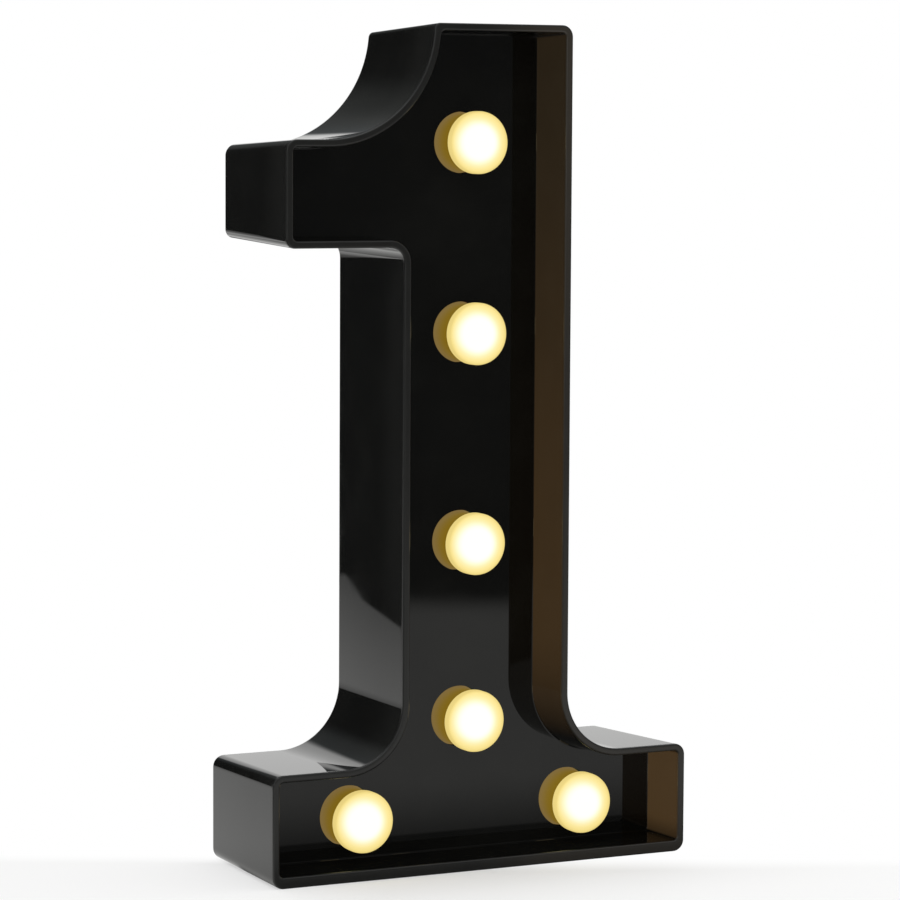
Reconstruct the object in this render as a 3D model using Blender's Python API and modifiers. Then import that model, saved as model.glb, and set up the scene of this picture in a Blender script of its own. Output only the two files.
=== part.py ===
"""Battery marquee numeral "1": a drafted plastic housing with six capped lamps.

Metres, +Z up. The numeral stands on its foot at Z = 0 and faces -Y. X = 0 is the middle of
the foot and Y = 0 is half way through its depth. Run with blender --background --python.
"""

import math

import bmesh
import bpy
from mathutils import Matrix, Vector

# The numeral's face outline, measured at the front rim
HEIGHT = 0.2200
DEPTH = 0.0430
FOOT_WIDTH = 0.1205
FOOT_HEIGHT = 0.0292
STEM_LEFT = -0.0237
STEM_RIGHT = 0.0245
TIP_X = -0.0154
ARM_LEFT = -0.0567
ARM_BOTTOM = 0.1629
ARM_TOP = 0.1903
CORNER_RADIUS = 0.0030
TIP_RADIUS = 0.0015
FOOT_FILLET = 0.0178
ARM_FILLET = 0.0035
INNER_CORNER_RADIUS = 0.0012

# The housing's wall, draft and tray
WALL = 0.0019
DRAFT = 0.00146
RIM_ROUND = 0.00055
RECESS = 0.0155
PANEL_THICK = 0.0020

# Fits
SEAT_GAP = 0.0003
OVERRUN = 0.0010
SINK = 0.0006
SLIVER = 0.00005

# Lamp places: up the stem by shares of the height, and in from the foot's ends
STEM_LAMP_SHARES = (0.8618, 0.6368, 0.3873, 0.1750)
FOOT_LAMP_MARGIN = 0.02805
FOOT_LAMP_HEIGHT_SHARE = 0.49

# Lamp cap, its own axis pointing forward from the panel's face
CAP_HEAD_RADIUS = 0.0081
CAP_HEAD_SIDE = 0.0023
CAP_DOME = 0.0026
CAP_FRONT_SETBACK = 0.0028
CAP_NECK_TOP_RADIUS = 0.0073
CAP_NECK_RADIUS = 0.0077
CAP_STEP = 0.0004
CAP_WALL = 0.0012
CAP_FLANGE_RADIUS = 0.0094
CAP_FLANGE_THICK = 0.0010

# Lamp and its board
LED_RADIUS = 0.0025
LED_LENGTH = 0.0086
LED_FLANGE_RADIUS = 0.0029
LED_FLANGE_THICK = 0.0010
LED_LEG_SIZE = 0.0005
LED_LEG_PITCH = 0.00254
LED_LEG_PROUD = 0.0008
BOARD_WIDTH = 0.0270
BOARD_HEIGHT = 0.0130
BOARD_THICK = 0.0012
BOARD_CORNER = 0.0015
STAKE_PITCH = 0.0224
STAKE_RADIUS = 0.0010
STAKE_HEAD_RADIUS = 0.0018
STAKE_HEAD_THICK = 0.0008

# Back cover and its screws
COVER_THICK = 0.0020
SCREW_MARGIN = 0.0095
FOOT_SCREW_HEIGHT_SHARE = 0.36
BOSS_RADIUS = 0.0030
SCREW_RADIUS = 0.0011
SCREW_LENGTH = 0.0080
SCREW_HEAD_RADIUS = 0.0024
SCREW_HEAD_THICK = 0.0009
SCREW_WELL_DEPTH = 0.0012
CROSS_LENGTH = 0.0026
CROSS_WIDTH = 0.0006
CROSS_DEPTH = 0.0005
RIB_THICK = 0.0012
RIB_HEIGHT = 0.0018
KEYHOLE_DROP = 0.0170
KEYHOLE_RADIUS = 0.0040
KEYHOLE_SLOT_WIDTH = 0.0042
KEYHOLE_SLOT_RISE = 0.0075

# Cells and battery bay
CELL_RADIUS = 0.00725
CELL_LENGTH = 0.0505
CELL_NUB_RADIUS = 0.00275
CELL_NUB_HEIGHT = 0.0010
CELL_EDGE = 0.0004
CELL_PITCH = 0.0155
BAY_HEIGHT_SHARE = 0.50
BAY_WALL = 0.0014
BAY_LEDGE = 0.0015
BAY_FLANK = 0.0008
BAY_SADDLE_ANGLE = math.radians(52)
CONTACT_THICK = 0.0004
CONTACT_WIDTH = 0.0080
CONTACT_DROP = 0.0050
CONTACT_RISE = 0.0048
TAG_WIDTH = 0.0030
TAG_LENGTH = 0.0030
TAG_DROP = 0.0038
SPRING_LENGTH = 0.0045
SPRING_WIRE_RADIUS = 0.00035
SPRING_FOOT_RADIUS = 0.0032
SPRING_TIP_RADIUS = 0.0022
SPRING_TURNS = 3

# Battery door
DOOR_THICK = 0.0017
DOOR_CORNER = 0.0015
TAB_WIDTH = 0.0032
TAB_THICK = 0.0012
TAB_REACH = 0.0018
TAB_INSET = 0.0019
TONGUE_WIDTH = 0.0120
TONGUE_LENGTH = 0.0110
TONGUE_SLOT = 0.0010
SCOOP_WIDTH = 0.0080
SCOOP_LENGTH = 0.0060
SCOOP_DEPTH = 0.0007
GRIP_RIBS = 3
GRIP_RIB_WIDTH = 0.0006
DETENT_PROUD = 0.0002
DETENT_WIDTH = 0.0080
DETENT_HEIGHT = 0.0006

# Slide switch
SWITCH_HEIGHT_SHARE = 0.7318
SWITCH_WELL_WIDTH = 0.0120
SWITCH_WELL_HEIGHT = 0.0080
SWITCH_WELL_DEPTH = 0.0026
SWITCH_PAD_WIDTH = 0.0260
SWITCH_PAD_HEIGHT = 0.0105
SWITCH_PAD_THICK = 0.0020
KNOB_WIDTH = 0.0030
KNOB_HEIGHT = 0.0026
KNOB_SETBACK = 0.0005
KNOB_SINK = 0.0014
KNOB_GROOVE = 0.0004
KNOB_GROOVES = 3
SWITCH_TRAVEL = 0.0030
SWITCH_BODY_WIDTH = 0.0116
SWITCH_BODY_HEIGHT = 0.0058
SWITCH_BODY_DEPTH = 0.0050
SWITCH_EAR_WIDTH = 0.0236
SWITCH_EAR_THICK = 0.0006
SWITCH_SCREW_PITCH = 0.0190
SWITCH_SCREW_RADIUS = 0.0009
SWITCH_SCREW_LENGTH = 0.0032
SWITCH_SCREW_HEAD_RADIUS = 0.0017
SWITCH_SCREW_HEAD_THICK = 0.0010
PIN_PITCH = 0.0025
PIN_SIZE = 0.0006
PIN_LENGTH = 0.0020
RESISTOR_RADIUS = 0.0011
RESISTOR_LENGTH = 0.0036
RESISTOR_LEAD_RADIUS = 0.00025
RESISTOR_LEAD = 0.0015

# Wires
WIRE_RADIUS = 0.0006
WIRE_LANE = 0.0016
WIRE_EASE = 0.0022
LINK_PAD_X = 0.0045
FEED_PAD_X = 0.0075
PAD_RISE = 0.0030

# How finely round stretches are divided
SWEEP_SEGMENTS = 12
FILLET_SEGMENTS = 8
CORNER_SEGMENTS = 4
SMALL_SEGMENTS = 3
CAP_SEGMENTS = 20
DOME_SEGMENTS = 4
LAMP_SEGMENTS = 10
HOLE_SEGMENTS = 12
CAP_HOLE_SEGMENTS = 24
SMALL_HOLE_SEGMENTS = 8
CELL_SEGMENTS = 18
LOBE_SEGMENTS = 8
WIRE_BEVEL_RESOLUTION = 2
COIL_POINTS_A_TURN = 8
WIRE_SEGMENTS = 2
MERGE_DISTANCE = 0.00001
SMOOTH_ANGLE = math.radians(35)

# Planes through the depth, front to back
FRONT_Y = -DEPTH / 2
BACK_Y = DEPTH / 2
PANEL_FRONT_Y = FRONT_Y + RECESS
PANEL_BACK_Y = PANEL_FRONT_Y + PANEL_THICK
FLANGE_FRONT_Y = PANEL_BACK_Y + SEAT_GAP
BOARD_FRONT_Y = FLANGE_FRONT_Y + CAP_FLANGE_THICK + SEAT_GAP
BOARD_BACK_Y = BOARD_FRONT_Y + BOARD_THICK
COVER_FRONT_Y = BACK_Y - COVER_THICK
LANE_Y = BOARD_BACK_Y + WIRE_LANE + WIRE_RADIUS

# Stem, foot and battery bay places
FOOT_HALF = FOOT_WIDTH / 2
STEM_X = (STEM_LEFT + STEM_RIGHT) / 2
CAVITY_INSET = DRAFT + WALL
COVER_INSET = CAVITY_INSET + SEAT_GAP
LAMP_PLACES = [(0.0, HEIGHT * share) for share in STEM_LAMP_SHARES]
LAMP_PLACES += [(side * (FOOT_HALF - FOOT_LAMP_MARGIN), FOOT_HEIGHT * FOOT_LAMP_HEIGHT_SHARE)
                for side in (-1, 1)]

DOOR_BACK_Y = BACK_Y
DOOR_FRONT_Y = BACK_Y - DOOR_THICK
CELL_Y = COVER_FRONT_Y - CELL_RADIUS - SEAT_GAP
BAY_RADIUS = CELL_RADIUS + SEAT_GAP
BAY_HALF = CELL_PITCH / 2 + BAY_RADIUS
CONTACT_STACK = SEAT_GAP + CONTACT_THICK + SEAT_GAP
BAY_LENGTH = CELL_LENGTH + SPRING_LENGTH + 2 * CONTACT_STACK
BAY_Z = HEIGHT * BAY_HEIGHT_SHARE
BAY_LOW = BAY_Z - BAY_LENGTH / 2
BAY_HIGH = BAY_Z + BAY_LENGTH / 2
OPENING_HALF = BAY_HALF + BAY_LEDGE
OPENING_LOW = BAY_LOW - BAY_LEDGE
OPENING_HIGH = BAY_HIGH + BAY_LEDGE
TUB_HALF = OPENING_HALF + BAY_FLANK
TUB_LOW = OPENING_LOW - BAY_FLANK
TUB_HIGH = OPENING_HIGH + BAY_FLANK
CELL_XS = (STEM_X - CELL_PITCH / 2, STEM_X + CELL_PITCH / 2)
HINGE_Z = OPENING_LOW + SEAT_GAP / 2
TAB_XS = [STEM_X + side * (BAY_HALF - TAB_INSET) for side in (-1, 1)]

SWITCH_Z = HEIGHT * SWITCH_HEIGHT_SHARE
SWITCH_PAD_Y = COVER_FRONT_Y - SWITCH_PAD_THICK
SWITCH_FACE_Y = SWITCH_PAD_Y - SEAT_GAP
SWITCH_FRONT_Y = SWITCH_FACE_Y - SWITCH_BODY_DEPTH
PIN_Y = SWITCH_FRONT_Y - PIN_LENGTH

SCREW_PLACES = [
    (STEM_RIGHT - SCREW_MARGIN, HEIGHT - SCREW_MARGIN),
    (ARM_LEFT + SCREW_MARGIN, (ARM_BOTTOM + ARM_TOP) / 2),
    (STEM_LEFT + SCREW_MARGIN, TUB_LOW - SCREW_MARGIN),
    (STEM_RIGHT - SCREW_MARGIN, TUB_LOW - SCREW_MARGIN),
    (SCREW_MARGIN - FOOT_HALF, FOOT_HEIGHT * FOOT_SCREW_HEIGHT_SHARE),
    (FOOT_HALF - SCREW_MARGIN, FOOT_HEIGHT * FOOT_SCREW_HEIGHT_SHARE),
]
SCREW_SEAT_Y = BACK_Y - SCREW_WELL_DEPTH
KEYHOLE_Z = HEIGHT - KEYHOLE_DROP

BLACK = (0.006, 0.006, 0.006, 1)
FROSTED = (0.93, 0.87, 0.66, 1)
WARM = (1.0, 0.86, 0.52, 1)
BOARD_GREEN = (0.02, 0.16, 0.07, 1)
NICKEL = (0.63, 0.62, 0.58, 1)
ZINC = (0.55, 0.56, 0.58, 1)
CELL_GREY = (0.11, 0.12, 0.14, 1)
SWITCH_BLACK = (0.02, 0.02, 0.022, 1)
WIRE_RED = (0.45, 0.02, 0.015, 1)
WIRE_BLACK = (0.012, 0.012, 0.012, 1)
RESISTOR_TAN = (0.52, 0.36, 0.20, 1)


def clear_scene():
    """Remove what the file holds and make the two collections."""
    for item in list(bpy.data.objects):
        bpy.data.objects.remove(item)
    parts = bpy.data.collections.new("marquee_numeral_light")
    cutters = bpy.data.collections.new("cutters")
    for group in (parts, cutters):
        bpy.context.scene.collection.children.link(group)
    return parts, cutters


PARTS, CUTTERS = clear_scene()


def material(name, color, roughness, metallic=0.0, glow=0.0):
    """Return the Principled material of this name, made once."""
    made = bpy.data.materials.get(name)
    if made is None:
        made = bpy.data.materials.new(name)
        made.use_nodes = True
        shader = made.node_tree.nodes["Principled BSDF"]
        shader.inputs["Base Color"].default_value = color
        shader.inputs["Roughness"].default_value = roughness
        shader.inputs["Metallic"].default_value = metallic
        shader.inputs["Emission Color"].default_value = color
        shader.inputs["Emission Strength"].default_value = glow
    return made


def new_object(name, mesh, finish=None):
    """Link a mesh as a part, or as a cutter when it has no finish."""
    thing = bpy.data.objects.new(name, mesh)
    if finish is None:
        CUTTERS.objects.link(thing)
        thing.hide_render = True
        thing.display_type = "WIRE"
    else:
        PARTS.objects.link(thing)
        mesh.materials.append(finish)
    return thing


def finish_mesh(name, bm):
    """Turn a closed bmesh into a mesh with its faces out."""
    bmesh.ops.recalc_face_normals(bm, faces=bm.faces)
    mesh = bpy.data.meshes.new(name)
    bm.to_mesh(mesh)
    bm.free()
    mesh.shade_smooth()
    mesh.set_sharp_from_angle(angle=SMOOTH_ANGLE)
    return mesh


def loft(name, rings, finish=None):
    """Join rings of equally many points into a skin closed by its first and last ring."""
    bm = bmesh.new()
    loops = [[bm.verts.new(point) for point in ring] for ring in rings]
    for low, high in zip(loops, loops[1:]):
        for index, corner in enumerate(low):
            after = (index + 1) % len(low)
            bm.faces.new((corner, low[after], high[after], high[index]))
    bm.faces.new(loops[0])
    bm.faces.new(list(reversed(loops[-1])))
    return new_object(name, finish_mesh(name, bm), finish)


def prism(name, outline, low, high, finish=None, axis="Y"):
    """Extrude a flat outline: of (x, z) points along Y, or of (x, y) points along Z."""
    if axis == "Y":
        rings = [[(x, level, z) for x, z in outline] for level in (low, high)]
    else:
        rings = [[(x, y, level) for x, y in outline] for level in (low, high)]
    return loft(name, rings, finish)


def block(name, xs, ys, zs, finish=None):
    """Make a box from its lowest and highest x, y and z."""
    bm = bmesh.new()
    bmesh.ops.create_cube(bm, size=1)
    size = Vector((xs[1] - xs[0], ys[1] - ys[0], zs[1] - zs[0]))
    middle = Vector((sum(xs), sum(ys), sum(zs))) / 2
    bmesh.ops.transform(bm, verts=bm.verts, matrix=Matrix.Diagonal((*size, 1)))
    bmesh.ops.translate(bm, verts=bm.verts, vec=middle)
    return new_object(name, finish_mesh(name, bm), finish)


def rod(name, radius, ys, x, z, segments):
    """Make a cylinder cutter along Y."""
    bm = bmesh.new()
    bmesh.ops.create_cone(bm, cap_ends=True, segments=segments, radius1=radius,
                          radius2=radius, depth=ys[1] - ys[0])
    turn = Matrix.Rotation(math.pi / 2, 4, "X")
    bmesh.ops.transform(bm, verts=bm.verts, matrix=turn)
    bmesh.ops.translate(bm, verts=bm.verts, vec=(x, sum(ys) / 2, z))
    return new_object(name, finish_mesh(name, bm))


def turned(name, profile, segments, place, direction, finish):
    """Spin a profile of (radius, height) points, listed top to bottom, about its own axis.

    The axis then points forward, back or up from the place where height is zero.
    """
    mesh = bpy.data.meshes.new(name)
    edges = [(index, index + 1) for index in range(len(profile) - 1)]
    mesh.from_pydata([(radius, 0, height) for radius, height in profile], edges, [])
    thing = new_object(name, mesh, finish)
    screw = thing.modifiers.new("turn", "SCREW")
    screw.steps = segments
    screw.render_steps = segments
    screw.use_merge_vertices = True
    screw.merge_threshold = MERGE_DISTANCE
    screw.use_smooth_shade = True
    thing.location = place
    turns = {"front": math.pi / 2, "back": -math.pi / 2, "up": 0}
    thing.rotation_euler = (turns[direction], 0, 0)
    return thing


def tube(name, points, radius, finish):
    """Run a round wire through points, with flat closed ends."""
    curve = bpy.data.curves.new(name, "CURVE")
    curve.dimensions = "3D"
    curve.bevel_depth = radius
    curve.bevel_resolution = WIRE_BEVEL_RESOLUTION
    curve.use_fill_caps = True
    spline = curve.splines.new("POLY")
    spline.points.add(len(points) - 1)
    for point, place in zip(spline.points, points):
        point.co = (*place, 1)
    thing = bpy.data.objects.new(name, curve)
    curve.materials.append(finish)
    PARTS.objects.link(thing)
    return thing


def shape(thing, tool, operation):
    """Add a Boolean modifier that cuts or joins with a tool."""
    step = thing.modifiers.new(tool.name, "BOOLEAN")
    step.operation = operation
    step.solver = "EXACT"
    step.object = tool


def cut(thing, *tools):
    """Take tools away from a part, in order."""
    for tool in tools:
        shape(thing, tool, "DIFFERENCE")


def join(thing, *tools):
    """Add tools to a part, in order."""
    for tool in tools:
        shape(thing, tool, "UNION")


def merged(name, tools):
    """Gather cutters that don't touch each other into one cutter object."""
    bm = bmesh.new()
    for tool in tools:
        bm.from_mesh(tool.data)
        bpy.data.objects.remove(tool)
    mesh = bpy.data.meshes.new(name)
    bm.to_mesh(mesh)
    bm.free()
    return new_object(name, mesh)


def move_origin(thing, place):
    """Put a part's origin at a place without moving its shape."""
    thing.data.transform(Matrix.Translation(-Vector(place)))
    thing.location = place


def arc(center, radius, start, end, segments):
    """Return points along an arc, both ends included."""
    step = (end - start) / segments
    angles = [start + step * index for index in range(segments + 1)]
    return [(center[0] + radius * math.cos(a), center[1] + radius * math.sin(a)) for a in angles]


def fillet(before, corner, after, radius, segments):
    """Round a corner between two straight stretches."""
    corner = Vector(corner)
    to_before = (Vector(before) - corner).normalized()
    to_after = (Vector(after) - corner).normalized()
    half = to_before.angle(to_after) / 2
    middle = corner + (to_before + to_after).normalized() * radius / math.sin(half)
    reach = radius / math.tan(half)
    start = corner + to_before * reach - middle
    end = corner + to_after * reach - middle
    first = math.atan2(start.y, start.x)
    swing = math.atan2(end.y, end.x) - first
    swing -= math.tau * round(swing / math.tau)
    return arc(middle, radius, first, first + swing, segments)


def numeral(inset, foot, corner=CORNER_RADIUS):
    """Return the face outline of (x, z) points, moved inwards.

    Every wall moves by inset except the foot's flat underside, which rises by foot.
    Hollow corners keep their centres, so their radius grows by inset.
    """
    left = inset - FOOT_HALF
    right = FOOT_HALF - inset
    foot_top = FOOT_HEIGHT - inset
    stem_left = STEM_LEFT + inset
    stem_right = STEM_RIGHT - inset
    top = HEIGHT - inset
    arm_left = ARM_LEFT + inset
    arm_bottom = ARM_BOTTOM + inset
    arm_top = ARM_TOP - inset
    sweep = HEIGHT - ARM_TOP + inset
    sweep_center = (TIP_X - HEIGHT + ARM_TOP, HEIGHT)
    tip_angle = -math.asin(inset / sweep)
    sweep_points = arc(sweep_center, sweep, tip_angle, -math.pi / 2, SWEEP_SEGMENTS)

    foot_a, foot_b = (left, foot), (right, foot)
    foot_c, foot_d = (right, foot_top), (left, foot_top)
    stem_a, stem_b = (stem_right, foot_top), (stem_left, foot_top)
    top_right, tip = (stem_right, top), sweep_points[0]
    arm_a, arm_b = (arm_left, arm_top), (arm_left, arm_bottom)
    arm_c = (stem_left, arm_bottom)

    points = fillet(foot_d, foot_a, foot_b, corner, CORNER_SEGMENTS)
    points += fillet(foot_a, foot_b, foot_c, corner, CORNER_SEGMENTS)
    points += fillet(foot_b, foot_c, stem_a, corner, CORNER_SEGMENTS)
    points += fillet(foot_c, stem_a, top_right, FOOT_FILLET + inset, FILLET_SEGMENTS)
    points += fillet(stem_a, top_right, tip, corner, CORNER_SEGMENTS)
    points += fillet(top_right, tip, sweep_points[1], TIP_RADIUS, SMALL_SEGMENTS)
    points += sweep_points[1:]
    points += fillet(sweep_points[-1], arm_a, arm_b, corner, CORNER_SEGMENTS)
    points += fillet(arm_a, arm_b, arm_c, corner, CORNER_SEGMENTS)
    points += fillet(arm_b, arm_c, stem_b, ARM_FILLET + inset, CORNER_SEGMENTS)
    points += fillet(arm_c, stem_b, foot_d, FOOT_FILLET + inset, FILLET_SEGMENTS)
    points += fillet(stem_b, foot_d, foot_a, corner, CORNER_SEGMENTS)
    return points


def rounded_rectangle(xs, zs, radius, segments=SMALL_SEGMENTS):
    """Return a rectangle of (x, z) points with round corners."""
    corners = [(xs[0], zs[0]), (xs[1], zs[0]), (xs[1], zs[1]), (xs[0], zs[1])]
    points = []
    for index, corner in enumerate(corners):
        points += fillet(corners[index - 1], corner, corners[(index + 1) % 4], radius, segments)
    return points


def draft_at(y):
    """Return how far the drafted outer wall has come in at a depth."""
    return DRAFT * (y - FRONT_Y) / DEPTH


def inner_corner():
    """Return the corner radius inside the wall."""
    return max(CORNER_RADIUS - WALL, INNER_CORNER_RADIUS)


def front_housing():
    """Mould the numeral: drafted wall, open front tray, panel, bosses and lamp stakes."""
    round_side = RIM_ROUND * (1 - math.sqrt(0.5))
    tray_wall = WALL + draft_at(PANEL_FRONT_Y)
    inner = inner_corner()
    sections = [
        (PANEL_FRONT_Y, tray_wall, WALL, inner),
        (FRONT_Y + RIM_ROUND, WALL, WALL, inner),
        (FRONT_Y + round_side, WALL - round_side, WALL - round_side, inner),
        (FRONT_Y, WALL - RIM_ROUND, WALL - RIM_ROUND, inner),
        (FRONT_Y, RIM_ROUND, RIM_ROUND, CORNER_RADIUS),
        (FRONT_Y + round_side, round_side, round_side, CORNER_RADIUS),
        (FRONT_Y + RIM_ROUND, 0, 0, CORNER_RADIUS),
        (BACK_Y, DRAFT, 0, CORNER_RADIUS),
        (BACK_Y, CAVITY_INSET, WALL, inner),
        (PANEL_BACK_Y, CAVITY_INSET, WALL, inner),
    ]
    rings = [[(x, y, z) for x, z in numeral(inset, foot, corner)]
             for y, inset, foot, corner in sections]
    gloss_black = material("gloss_black", BLACK, 0.12)
    housing = loft("front_housing", rings, gloss_black)

    stand_tops = []
    for index, (x, z) in enumerate(SCREW_PLACES):
        span = (PANEL_BACK_Y - SINK, COVER_FRONT_Y - SEAT_GAP)
        stand_tops.append(rod(f"boss_{index}", BOSS_RADIUS, span, x, z, HOLE_SEGMENTS))
    for index, (x, z) in enumerate(LAMP_PLACES):
        for side in (-1, 1):
            stand_tops.append(lamp_stake(f"stake_{index}_{side}", x + side * STAKE_PITCH / 2, z))
    join(housing, merged("housing_stands", stand_tops))

    holes = []
    for index, (x, z) in enumerate(LAMP_PLACES):
        span = (PANEL_FRONT_Y - OVERRUN, PANEL_BACK_Y + OVERRUN)
        holes.append(rod(f"lamp_hole_{index}", CAP_NECK_RADIUS + SEAT_GAP, span, x, z,
                         CAP_HOLE_SEGMENTS))
    for index, (x, z) in enumerate(SCREW_PLACES):
        span = (SCREW_SEAT_Y - SCREW_LENGTH - OVERRUN, COVER_FRONT_Y + OVERRUN)
        holes.append(rod(f"pilot_{index}", SCREW_RADIUS + SEAT_GAP, span, x, z,
                         SMALL_HOLE_SEGMENTS))
    cut(housing, merged("housing_holes", holes))
    return housing


def lamp_stake(name, x, z):
    """Make a heat-staked post that rises from the panel through a lamp board."""
    head_low = BOARD_BACK_Y + SEAT_GAP
    head_high = head_low + STAKE_HEAD_THICK
    shank = [(STAKE_RADIUS, PANEL_BACK_Y - SINK), (STAKE_RADIUS, head_low)]
    head = [(STAKE_HEAD_RADIUS, head_low), (STAKE_RADIUS, head_high)]
    rings = []
    for radius, y in shank + head:
        circle = arc((x, z), radius, 0, math.tau, SMALL_HOLE_SEGMENTS)[:-1]
        rings.append([(px, y, pz) for px, pz in circle])
    return loft(name, rings)


def cap_profile():
    """Return a lamp cap's half section: dome, side, neck, flange and the hollow inside."""
    front = RECESS - CAP_FRONT_SETBACK
    side_top = front - CAP_DOME
    side_low = side_top - CAP_HEAD_SIDE
    flange_top = -PANEL_THICK - SEAT_GAP
    flange_low = flange_top - CAP_FLANGE_THICK
    step = math.pi / 2 / DOME_SEGMENTS
    profile = []
    for index in range(DOME_SEGMENTS):
        angle = step * index
        profile.append((CAP_HEAD_RADIUS * math.sin(angle), side_top + CAP_DOME * math.cos(angle)))
    profile += [
        (CAP_HEAD_RADIUS, side_top),
        (CAP_HEAD_RADIUS, side_low),
        (CAP_NECK_TOP_RADIUS, side_low - CAP_STEP),
        (CAP_NECK_RADIUS, flange_top),
        (CAP_FLANGE_RADIUS, flange_top),
        (CAP_FLANGE_RADIUS, flange_low),
        (CAP_NECK_RADIUS - CAP_WALL, flange_low),
        (CAP_NECK_TOP_RADIUS - CAP_WALL, side_low),
        (CAP_HEAD_RADIUS - CAP_WALL, side_top),
        (CAP_HEAD_RADIUS / 2, front - CAP_WALL - CAP_DOME * (1 - math.sqrt(3) / 2)),
        (0, front - CAP_WALL),
    ]
    return profile


def lamp_caps():
    """Set a frosted cap through each hole of the panel."""
    frosted = material("frosted_cap", FROSTED, 0.35, 0.0, 1.0)
    for index, (x, z) in enumerate(LAMP_PLACES):
        place = (x, PANEL_FRONT_Y, z)
        turned(f"bulb_cap_{index + 1}", cap_profile(), CAP_SEGMENTS, place, "front", frosted)


def lamp_boards():
    """Lay a small board behind each cap, with holes for its stakes and the lamp's legs."""
    green = material("board_green", BOARD_GREEN, 0.5)
    for index, (x, z) in enumerate(LAMP_PLACES):
        half_width, half_height = BOARD_WIDTH / 2, BOARD_HEIGHT / 2
        outline = rounded_rectangle((x - half_width, x + half_width),
                                    (z - half_height, z + half_height), BOARD_CORNER, 2)
        board = prism(f"led_board_{index + 1}", outline, BOARD_FRONT_Y, BOARD_BACK_Y, green)
        span = (BOARD_FRONT_Y - OVERRUN, BOARD_BACK_Y + OVERRUN)
        leg_hole = LED_LEG_SIZE + SEAT_GAP
        holes = []
        for side in (-1, 1):
            stake_x = x + side * STAKE_PITCH / 2
            leg_x = x + side * LED_LEG_PITCH / 2
            holes.append(rod(f"stake_hole_{side}", STAKE_RADIUS + SEAT_GAP, span, stake_x, z,
                             SMALL_HOLE_SEGMENTS))
            holes.append(rod(f"leg_hole_{side}", leg_hole, span, leg_x, z, LOBE_SEGMENTS))
        cut(board, merged(f"board_holes_{index + 1}", holes))


def lamps():
    """Stand a round-nosed lamp on each board, its two legs passing through."""
    warm = material("lamp_warm", WARM, 0.2, 0.0, 1.0)
    shoulder = LED_LENGTH - LED_RADIUS
    nose = LED_RADIUS * math.sqrt(0.5)
    profile = [
        (0, LED_LENGTH),
        (nose, shoulder + nose),
        (LED_RADIUS, shoulder),
        (LED_RADIUS, LED_FLANGE_THICK),
        (LED_FLANGE_RADIUS, LED_FLANGE_THICK),
        (LED_FLANGE_RADIUS, 0),
        (0, 0),
    ]
    lamp_y = BOARD_FRONT_Y - SEAT_GAP
    leg_span = (lamp_y - SINK, BOARD_BACK_Y + LED_LEG_PROUD)
    half = LED_LEG_SIZE / 2
    for index, (x, z) in enumerate(LAMP_PLACES):
        lamp = turned(f"led_{index + 1}", profile, LAMP_SEGMENTS, (x, lamp_y, z), "front", warm)
        legs = []
        for side in (-1, 1):
            leg_x = x + side * LED_LEG_PITCH / 2
            legs.append(block(f"leg_{side}", (leg_x - half, leg_x + half), leg_span,
                              (z - half, z + half)))
        join(lamp, merged(f"legs_{index + 1}", legs))


def bay_outline(margin, half, mouth):
    """Return the battery bay's section of (x, y) points: two troughs, a saddle and a mouth."""
    radius = BAY_RADIUS + margin
    pitch = CELL_PITCH / 2
    left = arc((STEM_X - pitch, CELL_Y), radius, math.pi, math.tau - BAY_SADDLE_ANGLE,
               LOBE_SEGMENTS)
    right = arc((STEM_X + pitch, CELL_Y), radius, math.pi + BAY_SADDLE_ANGLE, math.tau,
                LOBE_SEGMENTS)
    sides = [(STEM_X + half, CELL_Y), (STEM_X + half, mouth),
             (STEM_X - half, mouth), (STEM_X - half, CELL_Y)]
    if half <= pitch + radius:
        sides = sides[1:3]
    return left + right + sides


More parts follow.
